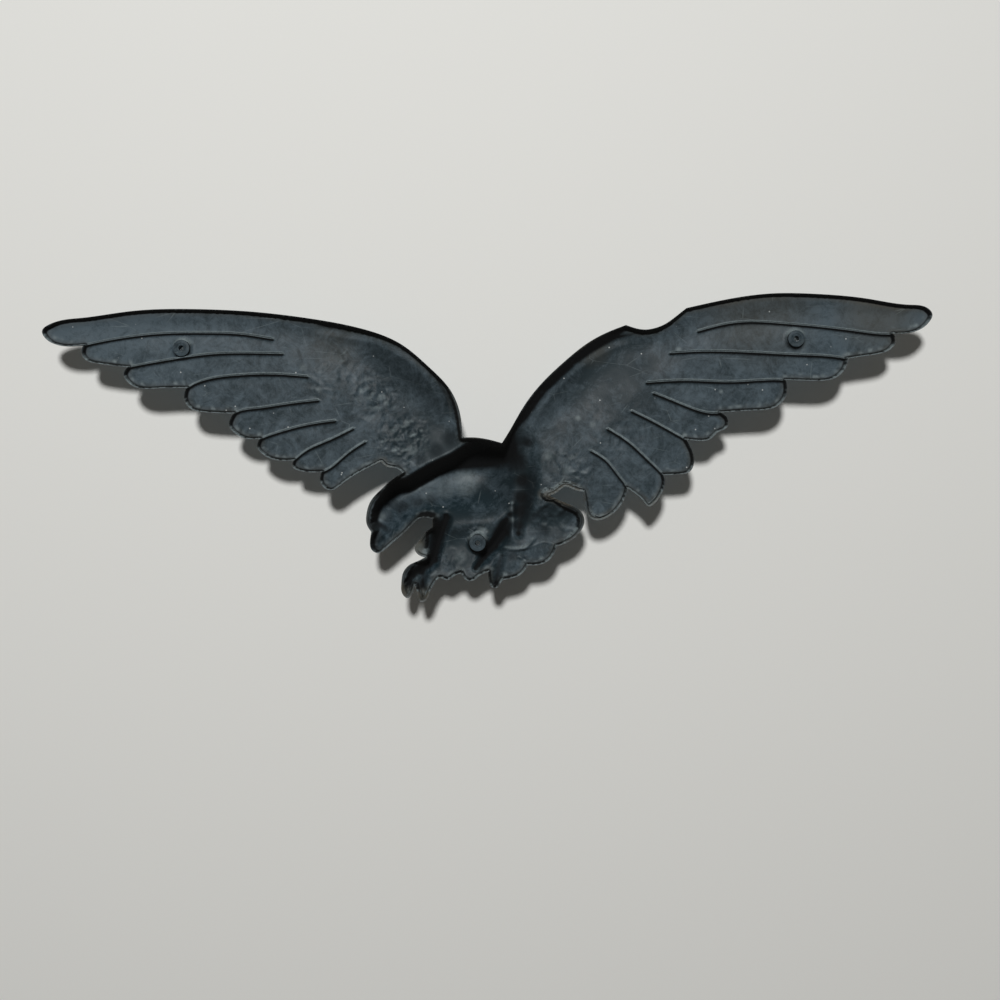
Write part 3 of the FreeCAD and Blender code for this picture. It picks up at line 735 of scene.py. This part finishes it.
def line_rows(line, rows):
    """Points in rows beside a line, and round its inner end."""
    ways = np.gradient(line, axis=0)
    ways /= np.linalg.norm(ways, axis=1)[:, None]
    aside = np.column_stack((-ways[:, 1], ways[:, 0]))
    found = [line + aside * row * sign for row in rows for sign in ((1, -1) if row else (1,))]
    for row in rows[1:]:
        angles = np.linspace(math.pi / 2, 3 * math.pi / 2, 3 + int(row / FAN_PITCH))[1:-1]
        round_end = np.cos(angles)[:, None] * ways[0] + np.sin(angles)[:, None] * aside[0]
        found.append(line[0] + row * round_end)
    return np.vstack(found)


def circle(centre, radius, count):
    angles = np.arange(count) * math.tau / count
    return centre + radius * np.column_stack((np.cos(angles), np.sin(angles)))


def inside(points, loop):
    """Which points lie inside a closed loop, by the even-odd rule."""
    x, z = points[:, 0], points[:, 1]
    odd = np.zeros(len(points), bool)
    for (ax, az), (bx, bz) in zip(loop, np.roll(loop, -1, axis=0)):
        if az != bz:
            odd ^= ((az > z) != (bz > z)) & (x < ax + (z - az) / (bz - az) * (bx - ax))
    return odd


def thinned(points, taken, gap):
    """The points that keep a gap from the taken ones and from each other."""
    points = points[distances(tree_of(taken), points) > gap]
    kept = {}
    for point in points:
        kept.setdefault((round(point[0] / gap), round(point[1] / gap)), point)
    return np.array(list(kept.values())).reshape(-1, 2)


def fill(loop, pitch):
    """An even triangular grid over a loop's box."""
    low, high = loop.min(axis=0), loop.max(axis=0)
    rows = []
    row_pitch = pitch * math.sqrt(3) / 2
    for row, z in enumerate(np.arange(low[1], high[1], row_pitch)):
        x = np.arange(low[0] + pitch / 2 * (row % 2), high[0], pitch)
        rows.append(np.column_stack((x, np.full(len(x), z))))
    return np.vstack(rows)


def triangles(loop, hole, others):
    """The points of one face of the skin, and the triangles between them, left open at the hole."""
    points = np.vstack((loop, hole, others))
    edges = [(i, (i + 1) % len(loop)) for i in range(len(loop))]
    edges += [(len(loop) + i, len(loop) + (i + 1) % len(hole)) for i in range(len(hole))]
    corners = [Vector(point) for point in points]
    faces, origins = delaunay_2d_cdt(corners, edges, [], INSIDE_ONLY, SAME_POINT)[2:4]
    first = [origin[0] for origin in origins]
    faces = np.array([[first[index] for index in face] for face in faces])
    if len(hole):
        middles = points[faces].mean(axis=1)
        faces = faces[np.linalg.norm(middles - hole.mean(axis=0), axis=1) > HOLE_RADIUS]
    a, b, c = (points[faces[:, corner]] for corner in range(3))
    turned = np.cross(b - a, c - a) < 0
    faces[turned] = faces[turned][:, ::-1]
    return points, faces


def face_points(name, rows, pitch, lines, round_rows):
    """All the plan points of one face of a section."""
    loop, on_rim = boundaries[name]
    hole = np.empty((0, 2))
    taken = loop
    groups = [rim_rows(loop, on_rim, rows)]
    if name in POSTS_PX:
        centre = plan([POSTS_PX[name]])[0]
        hole = circle(centre, HOLE_RADIUS, HOLE_SIDES)
        taken = np.vstack((taken, hole))
        groups.append(np.vstack([circle(centre, radius, POST_ROW_SIDES) for radius in round_rows]))
    groups.extend(line_rows(line, LINE_ROWS) for line in lines)
    box_low, box_high = loop.min(axis=0), loop.max(axis=0)
    for group in groups:
        group = group[np.all((group > box_low) & (group < box_high), axis=1)]
        if len(group) == 0:
            continue
        group = thinned(group[inside(group, loop)], taken, POINT_GAP)
        taken = np.vstack((taken, group))
    grid = fill(loop, pitch)
    grid = grid[inside(grid, loop)]
    taken = np.vstack((taken, thinned(grid, taken, pitch * GRID_GAP_SHARE)))
    if len(hole):
        taken = taken[np.linalg.norm(taken - hole.mean(axis=0), axis=1) > HOLE_RADIUS - ROW_SLACK]
    return loop, hole, taken[len(loop) + len(hole):]


def set_attribute(mesh, label, values):
    attribute = mesh.attributes.new(label, "FLOAT", "POINT")
    attribute.data.foreach_set("value", np.asarray(values, np.float32))


BARB_LEAN = 0.9
BARB_START, BARB_END = 8, 12
BARB_CLEAR, BARB_RIM = 1.2, 1.5


def barb_run(points, rim_away):
    """How far along its feather each point is, and how clearly the barbs show there."""
    height, top, barb = tile_relief(points, TILE_SOFTNESS)
    nearest = np.full(len(points), FAR)
    for line in shafts:
        away, side, along = beside(points, line)
        nearer = (away < nearest) & (top < 0)
        nearest[nearer] = away[nearer]
        barb[nearer] = along[nearer] - BARB_LEAN * away[nearer]
    clear = np.where(top >= 0, unit(height * 2), fade(nearest, BARB_END, BARB_START))
    for line in dividers:
        clear *= unit(beside(points, line)[0] / BARB_CLEAR)
    return barb, clear * unit(rim_away / BARB_RIM)


# Spots on the back of painted shade, nearly black, and of painted highlight; where it is brownish; and where
# a film of dust covers all.
PAINTED_SHADE_PX = [(497, 447, 17, 0.9), (474, 452, 12, 0.6), (517, 462, 10, 0.7), (522, 480, 8, 0.9),
           (521, 497, 8, 0.9), (520, 512, 7, 0.8), (518, 526, 6, 0.7), (500, 535, 8, 0.6),
           (490, 548, 6, 0.6), (400, 507, 6, 0.5), (415, 502, 6, 0.5), (430, 499, 6, 0.4),
           (450, 438, 9, 0.5), (436, 450, 8, 0.45), (420, 459, 6, 0.35), (543, 530, 7, 0.5),
           (530, 518, 6, 0.4), (512, 556, 5, 0.5)]
PAINTED_HIGHLIGHT_PX = [(464, 482, 13, 0.45), (444, 486, 11, 0.35), (426, 493, 8, 0.2), (378, 517, 5, 0.6),
            (373, 524, 4, 0.5), (482, 532, 5, 0.5), (512, 520, 3, 0.5), (512, 509, 3, 0.4),
            (418, 548, 6, 0.25), (460, 558, 6, 0.25), (379, 395, 2.5, 0.6), (385, 402, 2.5, 0.5),
            (406, 422, 3, 0.5), (360, 390, 2.5, 0.5), (318, 389, 3, 0.5), (302, 367, 4, 0.3),
            (412, 450, 5, 0.4), (420, 429, 2, 0.5), (579, 417, 3, 0.5), (593, 424, 3, 0.4),
            (568, 470, 5, 0.3), (549, 455, 5, 0.3), (722, 391, 2, 0.6), (680, 349, 3, 0.6)]
BROWN_PX = [(760, 303, 55, 0.35), (880, 308, 40, 0.5), (592, 345, 18, 0.4), (330, 345, 26, 0.25),
            (543, 494, 5, 0.5), (419, 546, 8, 0.7), (405, 590, 8, 0.6), (423, 594, 8, 0.6)]
FILM_PX = [(419, 546, 6, 1), (406, 592, 5, 0.9), (423, 594, 5, 0.9), (404, 575, 3, 0.7),
           (414, 565, 2, 0.7), (543, 494, 5, 0.5)]
# A painted shade line at the foot of the rim's wall: how much it takes, how far in it runs and its width.
CREVICE, CREVICE_AWAY, CREVICE_WIDTH = 0.75, 1.75, 0.45
# Pairs say where an effect starts and where it is full: by how squarely a face looks out, how steeply it
# looks up the picture, how deep it lies, or how far it is from the rim.
DUST_AND_SHADE_FACING = (0.45, 0.95)
CLIFF_TILT = (0.9, 0.75)
HIGHLIGHT_TILT = (0.07, 0.42)
DEEP = (5, 14)
RIM_HIGHLIGHT_AWAY = (1.0, 0.7)
FRONT_OPEN = 0.35
# Faces that look up the picture, towards the lamp, are painted paler, as if lit.
DUST_AND_LIGHT_TILT = 1.5
# An overhang gets more painted shade the more it looks down the picture, away from the lamp, and more so
# where it lies deep.
OVERHANG_TILT, OVERHANG_FALL, OVERHANG_DEEP = 0.05, 2, 2.5
# Narrow grooves, sunk below their surroundings, get painted shade.
HOLLOW_OPEN, HOLLOW_FALL = 1.15, 1.6
SPREAD = 2.5
LOWER_STEP = 0.4
# Painted highlights: a ragged line along the lower rims, a band inside them, and the channels' inner sides.
RIM_HIGHLIGHT_NOISE, RIM_HIGHLIGHT_LEVEL, RIM_HIGHLIGHT_SWING, RIM_HIGHLIGHT_SHARE = (1.6, 4), 0.5, 1.3, 0.7
BAND_AWAY, BAND_WIDTH, BAND_NOISE, BAND_SWING, BAND_SHARE = 3.4, 1.5, (4, 7), 2, 0.8
CHANNEL_HIGHLIGHT_NOISE, CHANNEL_HIGHLIGHT_LEVEL, CHANNEL_HIGHLIGHT_SHARE = (5, 3), 0.6, 0.8
DEEPEST_PAINTED_SHADE = 0.95


def exposure(points, depth, rim_away, faces, behind):
    """How much dust each point of a face has, with painted shade and light in it, and how much painted
    highlight it gets. Cliffs, overhangs, narrow grooves and the foot of the rim's wall get painted shade,
    near black. Small forms get a painted highlight where they face up the picture, towards the lamp, as does
    the lower edge."""
    corners = np.column_stack((points[:, 0], -depth, points[:, 1]))[faces]
    across = np.cross(corners[:, 1] - corners[:, 0], corners[:, 2] - corners[:, 0])
    total = np.zeros((len(points), 3))
    for corner in range(3):
        np.add.at(total, faces[:, corner], across)
    total /= np.maximum(np.linalg.norm(total, axis=1), TINY)[:, None]
    total *= np.sign(total[:, 1])[:, None]
    dust_and_shade = fade(total[:, 1], *DUST_AND_SHADE_FACING)
    # On the front, steep faces are turned darker, towards near black, as painted shade.
    if not behind:
        return FRONT_OPEN + (1 - FRONT_OPEN) * dust_and_shade, np.zeros(len(points))
    tilt = total[:, 2]
    west, east, below, above = (relief_depth(points + np.array(step))
                                for step in ((-SPREAD, 0), (SPREAD, 0), (0, -SPREAD), (0, SPREAD)))
    slope_x, slope_z = (east - west) / SPREAD / 2, (above - below) / SPREAD / 2
    broad_tilt = np.maximum(0, slope_z / np.sqrt(1 + slope_x ** 2 + slope_z ** 2))
    hollow = relief_depth(points) - (west + east + below + above) / 4
    gentle = fade(tilt, *CLIFF_TILT)
    fall = OVERHANG_FALL + OVERHANG_DEEP * fade(depth, *DEEP)
    overhang = unit(1 + fall * np.minimum(0, tilt + OVERHANG_TILT))
    groove = unit(HOLLOW_OPEN - HOLLOW_FALL * hollow)
    painted_foot_shade = CREVICE * bell(rim_away - CREVICE_AWAY, CREVICE_WIDTH)
    lower = unit((distances(rim_tree, points + np.array((0, LOWER_STEP))) - rim_away) / LOWER_STEP)
    ragged_highlight = lower * fade(rim_away, *RIM_HIGHLIGHT_AWAY) * unit(RIM_HIGHLIGHT_LEVEL + RIM_HIGHLIGHT_SWING * ragged(points, *RIM_HIGHLIGHT_NOISE))
    band = lower * bell(rim_away - BAND_AWAY, BAND_WIDTH) * unit(BAND_SWING * ragged(points, *BAND_NOISE))
    channel_highlight = channel_form(points)[1] * unit(CHANNEL_HIGHLIGHT_LEVEL + ragged(points, *CHANNEL_HIGHLIGHT_NOISE))
    painted_highlight = gentle * groove * fade(tilt - broad_tilt, *HIGHLIGHT_TILT) * (1 - painted_foot_shade)
    painted_highlight = np.maximum.reduce((painted_highlight, RIM_HIGHLIGHT_SHARE * ragged_highlight, BAND_SHARE * band, CHANNEL_HIGHLIGHT_SHARE * channel_highlight,
                               spots(points, PAINTED_HIGHLIGHT_PX)))
    painted_shade = np.clip(spots(points, PAINTED_SHADE_PX), 0, DEEPEST_PAINTED_SHADE)
    dust_and_shade = np.maximum(dust_and_shade, gentle * unit(DUST_AND_LIGHT_TILT * tilt))
    dust_and_shade *= overhang * groove * (1 - painted_foot_shade) * (1 - painted_shade)
    return np.maximum(dust_and_shade, unit(spots(points, FILM_PX))), painted_highlight * (1 - painted_shade)


# Broad places where the back is darker or paler than the rest, each a place, a radius and an amount. Some
# are the plastic's own unevenness; some are painted highlight, on the lit slope of the breast and on the
# head, and painted shade, in the fold beside the body and at the back notch.
TONE_AND_LIGHT_PX = [(612, 372, 48, -0.65), (402, 425, 36, -0.35), (450, 518, 26, -0.35), (462, 550, 32, -0.4),
            (555, 522, 34, -0.4), (285, 405, 50, -0.1), (450, 483, 15, 0.7), (425, 492, 12, 0.4),
            (150, 323, 70, 0.45), (60, 330, 40, 0.5), (850, 330, 70, 0.35), (925, 318, 30, 0.4),
            (430, 440, 22, -0.3), (385, 345, 40, -0.3), (521, 485, 15, -0.9), (519, 514, 12, -0.9),
            (510, 445, 16, -0.6), (378, 517, 8, 0.8), (560, 470, 30, -0.2), (700, 360, 60, 0.1),
            (485, 500, 16, -0.4), (490, 540, 12, -0.4), (430, 512, 14, -0.3), (450, 438, 13, -0.4),
            (434, 452, 12, -0.35), (463, 557, 13, -0.45)]


def tone_and_light_at(points):
    total = np.zeros(len(points))
    for x, y, radius_px, amount in TONE_AND_LIGHT_PX:
        total += amount * bell(away_from(points, (x, y)), radius_px * px_mm)
    return total


EDGE_REACH = 5
SKIN_SHARP = math.radians(60)


def skin(name):
    """One closed section of the moulding, as a mesh."""
    lid = circle(plan([EYE_PX])[0], LID_RADIUS, LID_SIDES)
    carved = dividers + [brow, lid] + [line for line, deep in cuts]
    back = face_points(name, BACK_ROWS, BACK_PITCH, dividers, POST_ROWS)
    front = face_points(name, FRONT_ROWS, FRONT_PITCH, carved, FRONT_POST_ROWS)
    back_points, back_faces = triangles(*back)
    front_points, front_faces = triangles(*front)
    loop_size = len(boundaries[name][0])
    back_rim = distances(rim_tree, back_points)
    front_rim = distances(rim_tree, front_points)
    back_away = back_depth(back_points, back_rim)
    front_away = front_depth(front_points, front_rim)
    places = np.vstack((np.column_stack((back_points[:, 0], -back_away, back_points[:, 1])),
                        np.column_stack((front_points[:, 0], -front_away, front_points[:, 1]))))
    start = len(back_points)
    faces = back_faces[:, ::-1].tolist() + (front_faces + start).tolist()
    rings = [(0, loop_size)]
    if name in POSTS_PX:
        rings.append((loop_size, HOLE_SIDES))
    for first, count in rings:
        for index in range(count):
            here, there = first + index, first + (index + 1) % count
            faces.append((here, start + here, start + there, there))
    mesh = bpy.data.meshes.new(name)
    mesh.from_pydata(places * MM, [], faces)
    mesh.polygons.foreach_set("use_smooth", [True] * len(faces))
    bm = bmesh.new()
    bm.from_mesh(mesh)
    bmesh.ops.recalc_face_normals(bm, faces=bm.faces)
    bm.to_mesh(mesh)
    bm.free()
    mesh.set_sharp_from_angle(angle=SKIN_SHARP)
    ends = np.zeros(len(mesh.edges) * 2, np.int32)
    mesh.edges.foreach_get("vertices", ends)
    ends = ends.reshape(-1, 2)
    sharp = np.zeros(len(mesh.edges), bool)
    mesh.edges.foreach_get("use_edge_sharp", sharp)
    for first in (0, start):
        sharp |= np.all((ends >= first) & (ends < first + loop_size), axis=1)
    mesh.edges.foreach_set("use_edge_sharp", sharp)
    edge = fade(back_rim, EDGE_REACH, 0)
    flash = np.maximum(unit(spots(back_points, FLASH_PX)) * edge, spots(back_points, BROWN_PX))
    back_dust_and_shade, back_highlight = exposure(back_points, back_away, back_rim, back_faces, True)
    front_dust_and_shade, front_zeros = exposure(front_points, front_away, front_rim, front_faces, False)
    barb, clear = barb_run(front_points, front_rim)
    none = np.zeros(start)
    for label, back_values, front_values in (
            ("open", back_dust_and_shade, front_dust_and_shade), ("painted_highlight", back_highlight, front_zeros),
            ("tone_and_light", tone_and_light_at(back_points), front_zeros), ("edge", edge, front_zeros), ("flash", flash, front_zeros),
            ("barb", none, barb), ("barb_clear", none, clear)):
        set_attribute(mesh, label, np.concatenate((back_values, front_values)))
    return mesh


# The plastic
# Semi-matte black styrene with a blue-grey cast, handled, with dust on it: faint mottling, fine scratches,
# white specks of dust, and a brownish bloom along the rim and the flash. Its colour also carries painted
# shade, near black, and painted highlights, from the values that the skins carry.
BARE_AND_SHADED = (0.002, 0.0025, 0.003, 1)
PLASTIC = (0.008, 0.017, 0.022, 1)
PLASTIC_PALE = (0.059, 0.083, 0.100, 1)
BLOOM = (0.060, 0.057, 0.046, 1)
PAINTED_HIGHLIGHT_AND_SCRATCH = (0.19, 0.23, 0.24, 1)
DUST = (0.50, 0.52, 0.52, 1)
SCUFF_SHARE = 0.22
SPECK_SHARE = 0.86
SCRATCH_STRETCH = 2.4
BARE_ROUGHNESS = 0.9
BARB_RATE = 5.2


def add_node(tree, kind, inputs=(), **settings):
    """A node whose inputs are linked to the sockets given for them, or set to the values given."""
    node = tree.nodes.new(kind)
    for key, value in settings.items():
        setattr(node, key, value)
    for socket, value in dict(inputs).items():
        if isinstance(value, bpy.types.NodeSocket):
            tree.links.new(value, node.inputs[socket])
        else:
            node.inputs[socket].default_value = value
    return node


def maths(tree, operation, *values, clamp=False):
    node = add_node(tree, "ShaderNodeMath", enumerate(values), operation=operation, use_clamp=clamp)
    return node.outputs[0]


def ranged(tree, value, low, high, to_low=0.0, to_high=1.0):
    """A value carried from one range to another, and held at its ends."""
    return add_node(tree, "ShaderNodeMapRange",
                    {"Value": value, 1: low, 2: high, 3: to_low, 4: to_high}).outputs[0]


def mixed(tree, factor, first, second):
    node = add_node(tree, "ShaderNodeMix", {"Factor": factor, 6: first, 7: second}, data_type="RGBA")
    return node.outputs[2]


def carried(tree, label):
    """A value that the points of the mesh carry."""
    return add_node(tree, "ShaderNodeAttribute", attribute_name=label).outputs["Fac"]


def noise_on(tree, place, scale, detail, roughness=0.5, distortion=0.0):
    inputs = {"Vector": place, "Scale": scale, "Detail": detail, "Roughness": roughness}
    return add_node(tree, "ShaderNodeTexNoise", inputs | {"Distortion": distortion}).outputs["Fac"]


def stretched(tree, place, shares):
    return add_node(tree, "ShaderNodeVectorMath", {0: place, 1: shares}, operation="MULTIPLY").outputs[0]


black_plastic = bpy.data.materials.new("black_plastic")
black_plastic.use_nodes = True
nodes = black_plastic.node_tree
shader = nodes.nodes["Principled BSDF"]
place = add_node(nodes, "ShaderNodeTexCoord").outputs["Object"]
dust_and_shade_level = carried(nodes, "open")

clouds = ranged(nodes, noise_on(nodes, place, 70, 10, 0.78, 1.1), 0.36, 0.66)
scuffs = noise_on(nodes, place, 260, 6, 0.7)
mottled = maths(nodes, "ADD", clouds, ranged(nodes, scuffs, 0.35, 0.65, -SCUFF_SHARE, SCUFF_SHARE))
toned_and_lit = maths(nodes, "ADD", mottled, carried(nodes, "tone_and_light"), clamp=True)
colour = mixed(nodes, toned_and_lit, PLASTIC, PLASTIC_PALE)

patches = noise_on(nodes, place, 60, 4)
bloom = maths(nodes, "MULTIPLY", carried(nodes, "edge"), patches)
colour = mixed(nodes, maths(nodes, "ADD", bloom, carried(nodes, "flash"), clamp=True), colour, BLOOM)

flat_place = stretched(nodes, place, (1, 0, 1))
specks = add_node(nodes, "ShaderNodeTexVoronoi", {"Vector": flat_place, "Scale": 190})
rare = maths(nodes, "GREATER_THAN", specks.outputs["Color"], SPECK_SHARE)
speck = maths(nodes, "MULTIPLY", ranged(nodes, specks.outputs["Distance"], 0.05, 0.12, 0.8, 0.0), rare)
colour = mixed(nodes, speck, colour, DUST)

# The painted highlight, broken up by noise, takes one pale colour together with the fine scratches.
ragged_highlight = ranged(nodes, noise_on(nodes, place, 420, 4, 0.7), 0.25, 0.60, 0.3)
painted_highlight = maths(nodes, "MULTIPLY", carried(nodes, "painted_highlight"), ragged_highlight)
cells = add_node(nodes, "ShaderNodeTexVoronoi",
                 {"Vector": stretched(nodes, place, (1, 0, SCRATCH_STRETCH)), "Scale": 30},
                 feature="DISTANCE_TO_EDGE")
scratches = maths(nodes, "MULTIPLY", ranged(nodes, cells.outputs["Distance"], 0.0, 0.014, 0.4, 0.0),
                  ranged(nodes, patches, 0.52, 0.66))
colour = mixed(nodes, maths(nodes, "MAXIMUM", painted_highlight, scratches), colour, PAINTED_HIGHLIGHT_AND_SCRATCH)
# A low open value turns the colour near black: painted shade on steep walls, overhangs, grooves and the
# rim's foot, and black plastic without dust.
colour = mixed(nodes, dust_and_shade_level, BARE_AND_SHADED, colour)
nodes.links.new(colour, shader.inputs["Base Color"])

sheen = add_node(nodes, "ShaderNodeMix", {"Factor": dust_and_shade_level, 2: BARE_ROUGHNESS,
                                          3: ranged(nodes, patches, 0.3, 0.7, 0.42, 0.56)})
nodes.links.new(sheen.outputs[0], shader.inputs["Roughness"])
shader.inputs["Specular IOR Level"].default_value = 0.15

barbs = maths(nodes, "SINE", maths(nodes, "MULTIPLY", carried(nodes, "barb"), BARB_RATE))
barbs = maths(nodes, "MULTIPLY", barbs, carried(nodes, "barb_clear"))
grain = noise_on(nodes, place, 900, 3, 0.7)
bump = {}
for height, distance, strength in ((barbs, 0.00012, 0.8), (grain, 0.00008, 0.7), (scuffs, 0.0003, 0.5)):
    bump.update({"Height": height, "Distance": distance, "Strength": strength})
    bump["Normal"] = add_node(nodes, "ShaderNodeBump", bump).outputs[0]
nodes.links.new(bump["Normal"], shader.inputs["Normal"])


def dress(label, mesh, node):
    """Put a mesh of this plastic in the scene, in the place of a node of the CAD part."""
    piece = bpy.data.objects.new(label, mesh)
    bpy.context.scene.collection.objects.link(piece)
    mesh.materials.append(black_plastic)
    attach(piece, "root")
    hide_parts(node)


for name in SECTIONS:
    dress(name + "_skin", skin(name), name)

# The screw posts
# Three round posts of the same plastic, moulded with the face and ending inside its wall. Each takes a screw
# into the wall behind, and a shallow ring runs round its hole.
POST_SEAT = 1.0
POST_STEPS = 48
POST_SHARP = math.radians(40)
MERGE_GAP = 1e-4
# The end of a post from its hole outwards, each point a radius and a height over the wall plane.
POST_END = [(HOLE_RADIUS, -0.4), (HOLE_RADIUS + 0.15, -0.1), (HOLE_RADIUS + 0.5, 0), (2.6, 0), (2.85, -0.25),
            (3.2, -0.25), (3.45, -0.02), (5.25, -0.02), (5.55, -0.12), (POST_RADIUS, -0.45)]
# The end carries dust down to this height, and the sides are painted near black as shade.
POST_DUST_HEIGHT, POST_DUST, POST_SIDE_SHADE = -0.3, 0.9, 0.1
for name, post_px in POSTS_PX.items():
    node = name + "_screw_post"
    centre = plan([post_px])[0]
    foot = FACE_WALL - POST_SEAT - relief_depth(centre[None])[0]
    profile = [(HOLE_RADIUS, foot)] + POST_END + [(POST_RADIUS, foot)]
    bm = bmesh.new()
    ring = [bm.verts.new((radius, y, 0)) for radius, y in profile]
    sides = [bm.edges.new((ring[index - 1], ring[index])) for index in range(len(ring))]
    bmesh.ops.spin(bm, geom=ring + sides, cent=(0, 0, 0), axis=(0, 1, 0), angle=math.tau, steps=POST_STEPS,
                   use_merge=True)
    bmesh.ops.remove_doubles(bm, verts=bm.verts, dist=MERGE_GAP)
    bmesh.ops.recalc_face_normals(bm, faces=bm.faces)
    bmesh.ops.translate(bm, vec=(centre[0], 0, centre[1]), verts=bm.verts)
    bmesh.ops.scale(bm, vec=(MM, MM, MM), verts=bm.verts)
    mesh = bpy.data.meshes.new(node)
    bm.to_mesh(mesh)
    bm.free()
    mesh.polygons.foreach_set("use_smooth", [True] * len(mesh.polygons))
    mesh.set_sharp_from_angle(angle=POST_SHARP)
    set_attribute(mesh, "open", [POST_DUST if vert.co.y > POST_DUST_HEIGHT * MM else POST_SIDE_SHADE
                                 for vert in mesh.vertices])
    dress(node + "_tube", mesh, node)

# The floor
# A pale matte sheet that the plaque lies on, face down, as it does when its back is looked at. Light and
# looks from the front pass through it, so that the face can be seen as well.
FLOOR_SIZE = 6.0
FLOOR_GAP = 0.3
FLOOR_COLOUR = (0.80, 0.80, 0.77, 1)
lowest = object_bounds()[0].y
floor_mesh = bpy.data.meshes.new("floor")
bm = bmesh.new()
bmesh.ops.create_grid(bm, x_segments=1, y_segments=1, size=FLOOR_SIZE / 2)
bmesh.ops.rotate(bm, cent=(0, 0, 0), verts=bm.verts,
                 matrix=Vector((0, 0, 1)).rotation_difference(Vector((0, 1, 0))).to_matrix())
bmesh.ops.translate(bm, vec=(0, lowest - FLOOR_GAP * MM, 0), verts=bm.verts)
bm.to_mesh(floor_mesh)
bm.free()
floor = bpy.data.objects.new("floor", floor_mesh)
bpy.context.scene.collection.objects.link(floor)
floor_material = bpy.data.materials.new("pale_floor")
floor_material.use_nodes = True
nodes = floor_material.node_tree
shader = nodes.nodes["Principled BSDF"]
for socket, value in (("Base Color", FLOOR_COLOUR), ("Roughness", 0.9), ("Specular IOR Level", 0.1)):
    shader.inputs[socket].default_value = value
seen_through = maths(nodes, "MAXIMUM", add_node(nodes, "ShaderNodeLightPath").outputs["Is Shadow Ray"],
                     add_node(nodes, "ShaderNodeNewGeometry").outputs["Backfacing"])
either = add_node(nodes, "ShaderNodeMixShader",
                  {0: seen_through, 1: shader.outputs[0],
                   2: add_node(nodes, "ShaderNodeBsdfTransparent").outputs[0]})
nodes.links.new(either.outputs[0], nodes.nodes["Material Output"].inputs["Surface"])
floor_mesh.materials.append(floor_material)

# The light
# One soft lamp high behind the back, as over a table, two beside the front, and an even pale room. The room
# shows at full strength and lights the plaque at a small share of it.
ROOM_COLOUR = (0.86, 0.82, 0.75, 1)
ROOM_SHARE = 0.09
world = bpy.data.worlds.new("room")
bpy.context.scene.world = world
world.use_nodes = True
room = world.node_tree
background = room.nodes["Background"]
background.inputs["Color"].default_value = ROOM_COLOUR
rays = add_node(room, "ShaderNodeLightPath").outputs
mirrored = maths(room, "MAXIMUM", rays["Is Glossy Ray"], rays["Is Transmission Ray"])
seen = maths(room, "MAXIMUM", rays["Is Camera Ray"], mirrored)
room.links.new(ranged(room, seen, 0.0, 1.0, ROOM_SHARE), background.inputs["Strength"])
middle = (cad_low + cad_high) / 2


def add_lamp(name, way, distance, size, power):
    lamp = bpy.data.lights.new(name, "AREA")
    lamp.shape = "DISK"
    lamp.size = size
    lamp.energy = power
    holder = bpy.data.objects.new(name, lamp)
    way = Vector(way).normalized()
    holder.location = middle + way * distance
    holder.rotation_euler = way.to_track_quat("Z", "Y").to_euler()
    bpy.context.scene.collection.objects.link(holder)


add_lamp("table_lamp", (0.07, 0.91, 0.41), 2.4, 0.34, 46)
add_lamp("front_key", (0.12, -0.66, 0.62), 2.4, 0.8, 75)
add_lamp("front_fill", (0.75, -0.60, -0.10), 2.6, 1.4, 14)

# The camera
# It looks straight at the back from 0.7 m, as the photograph does.
PICTURE_PX = 1000
CAMERA_AWAY = 0.715
SENSOR = 36.0
view = bpy.data.cameras.new("camera")
view.sensor_width = SENSOR
view.lens = SENSOR * CAMERA_AWAY / (PICTURE_PX * px_mm * MM)
camera = bpy.data.objects.new("camera", view)
eye = plan([(PICTURE_PX / 2, PICTURE_PX / 2)])[0] * MM
camera.location = (eye[0], CAMERA_AWAY, eye[1])
camera.rotation_euler = (math.pi / 2, 0, math.pi)
bpy.context.scene.collection.objects.link(camera)
bpy.context.scene.camera = camera
bpy.context.scene.view_settings.view_transform = "Standard"
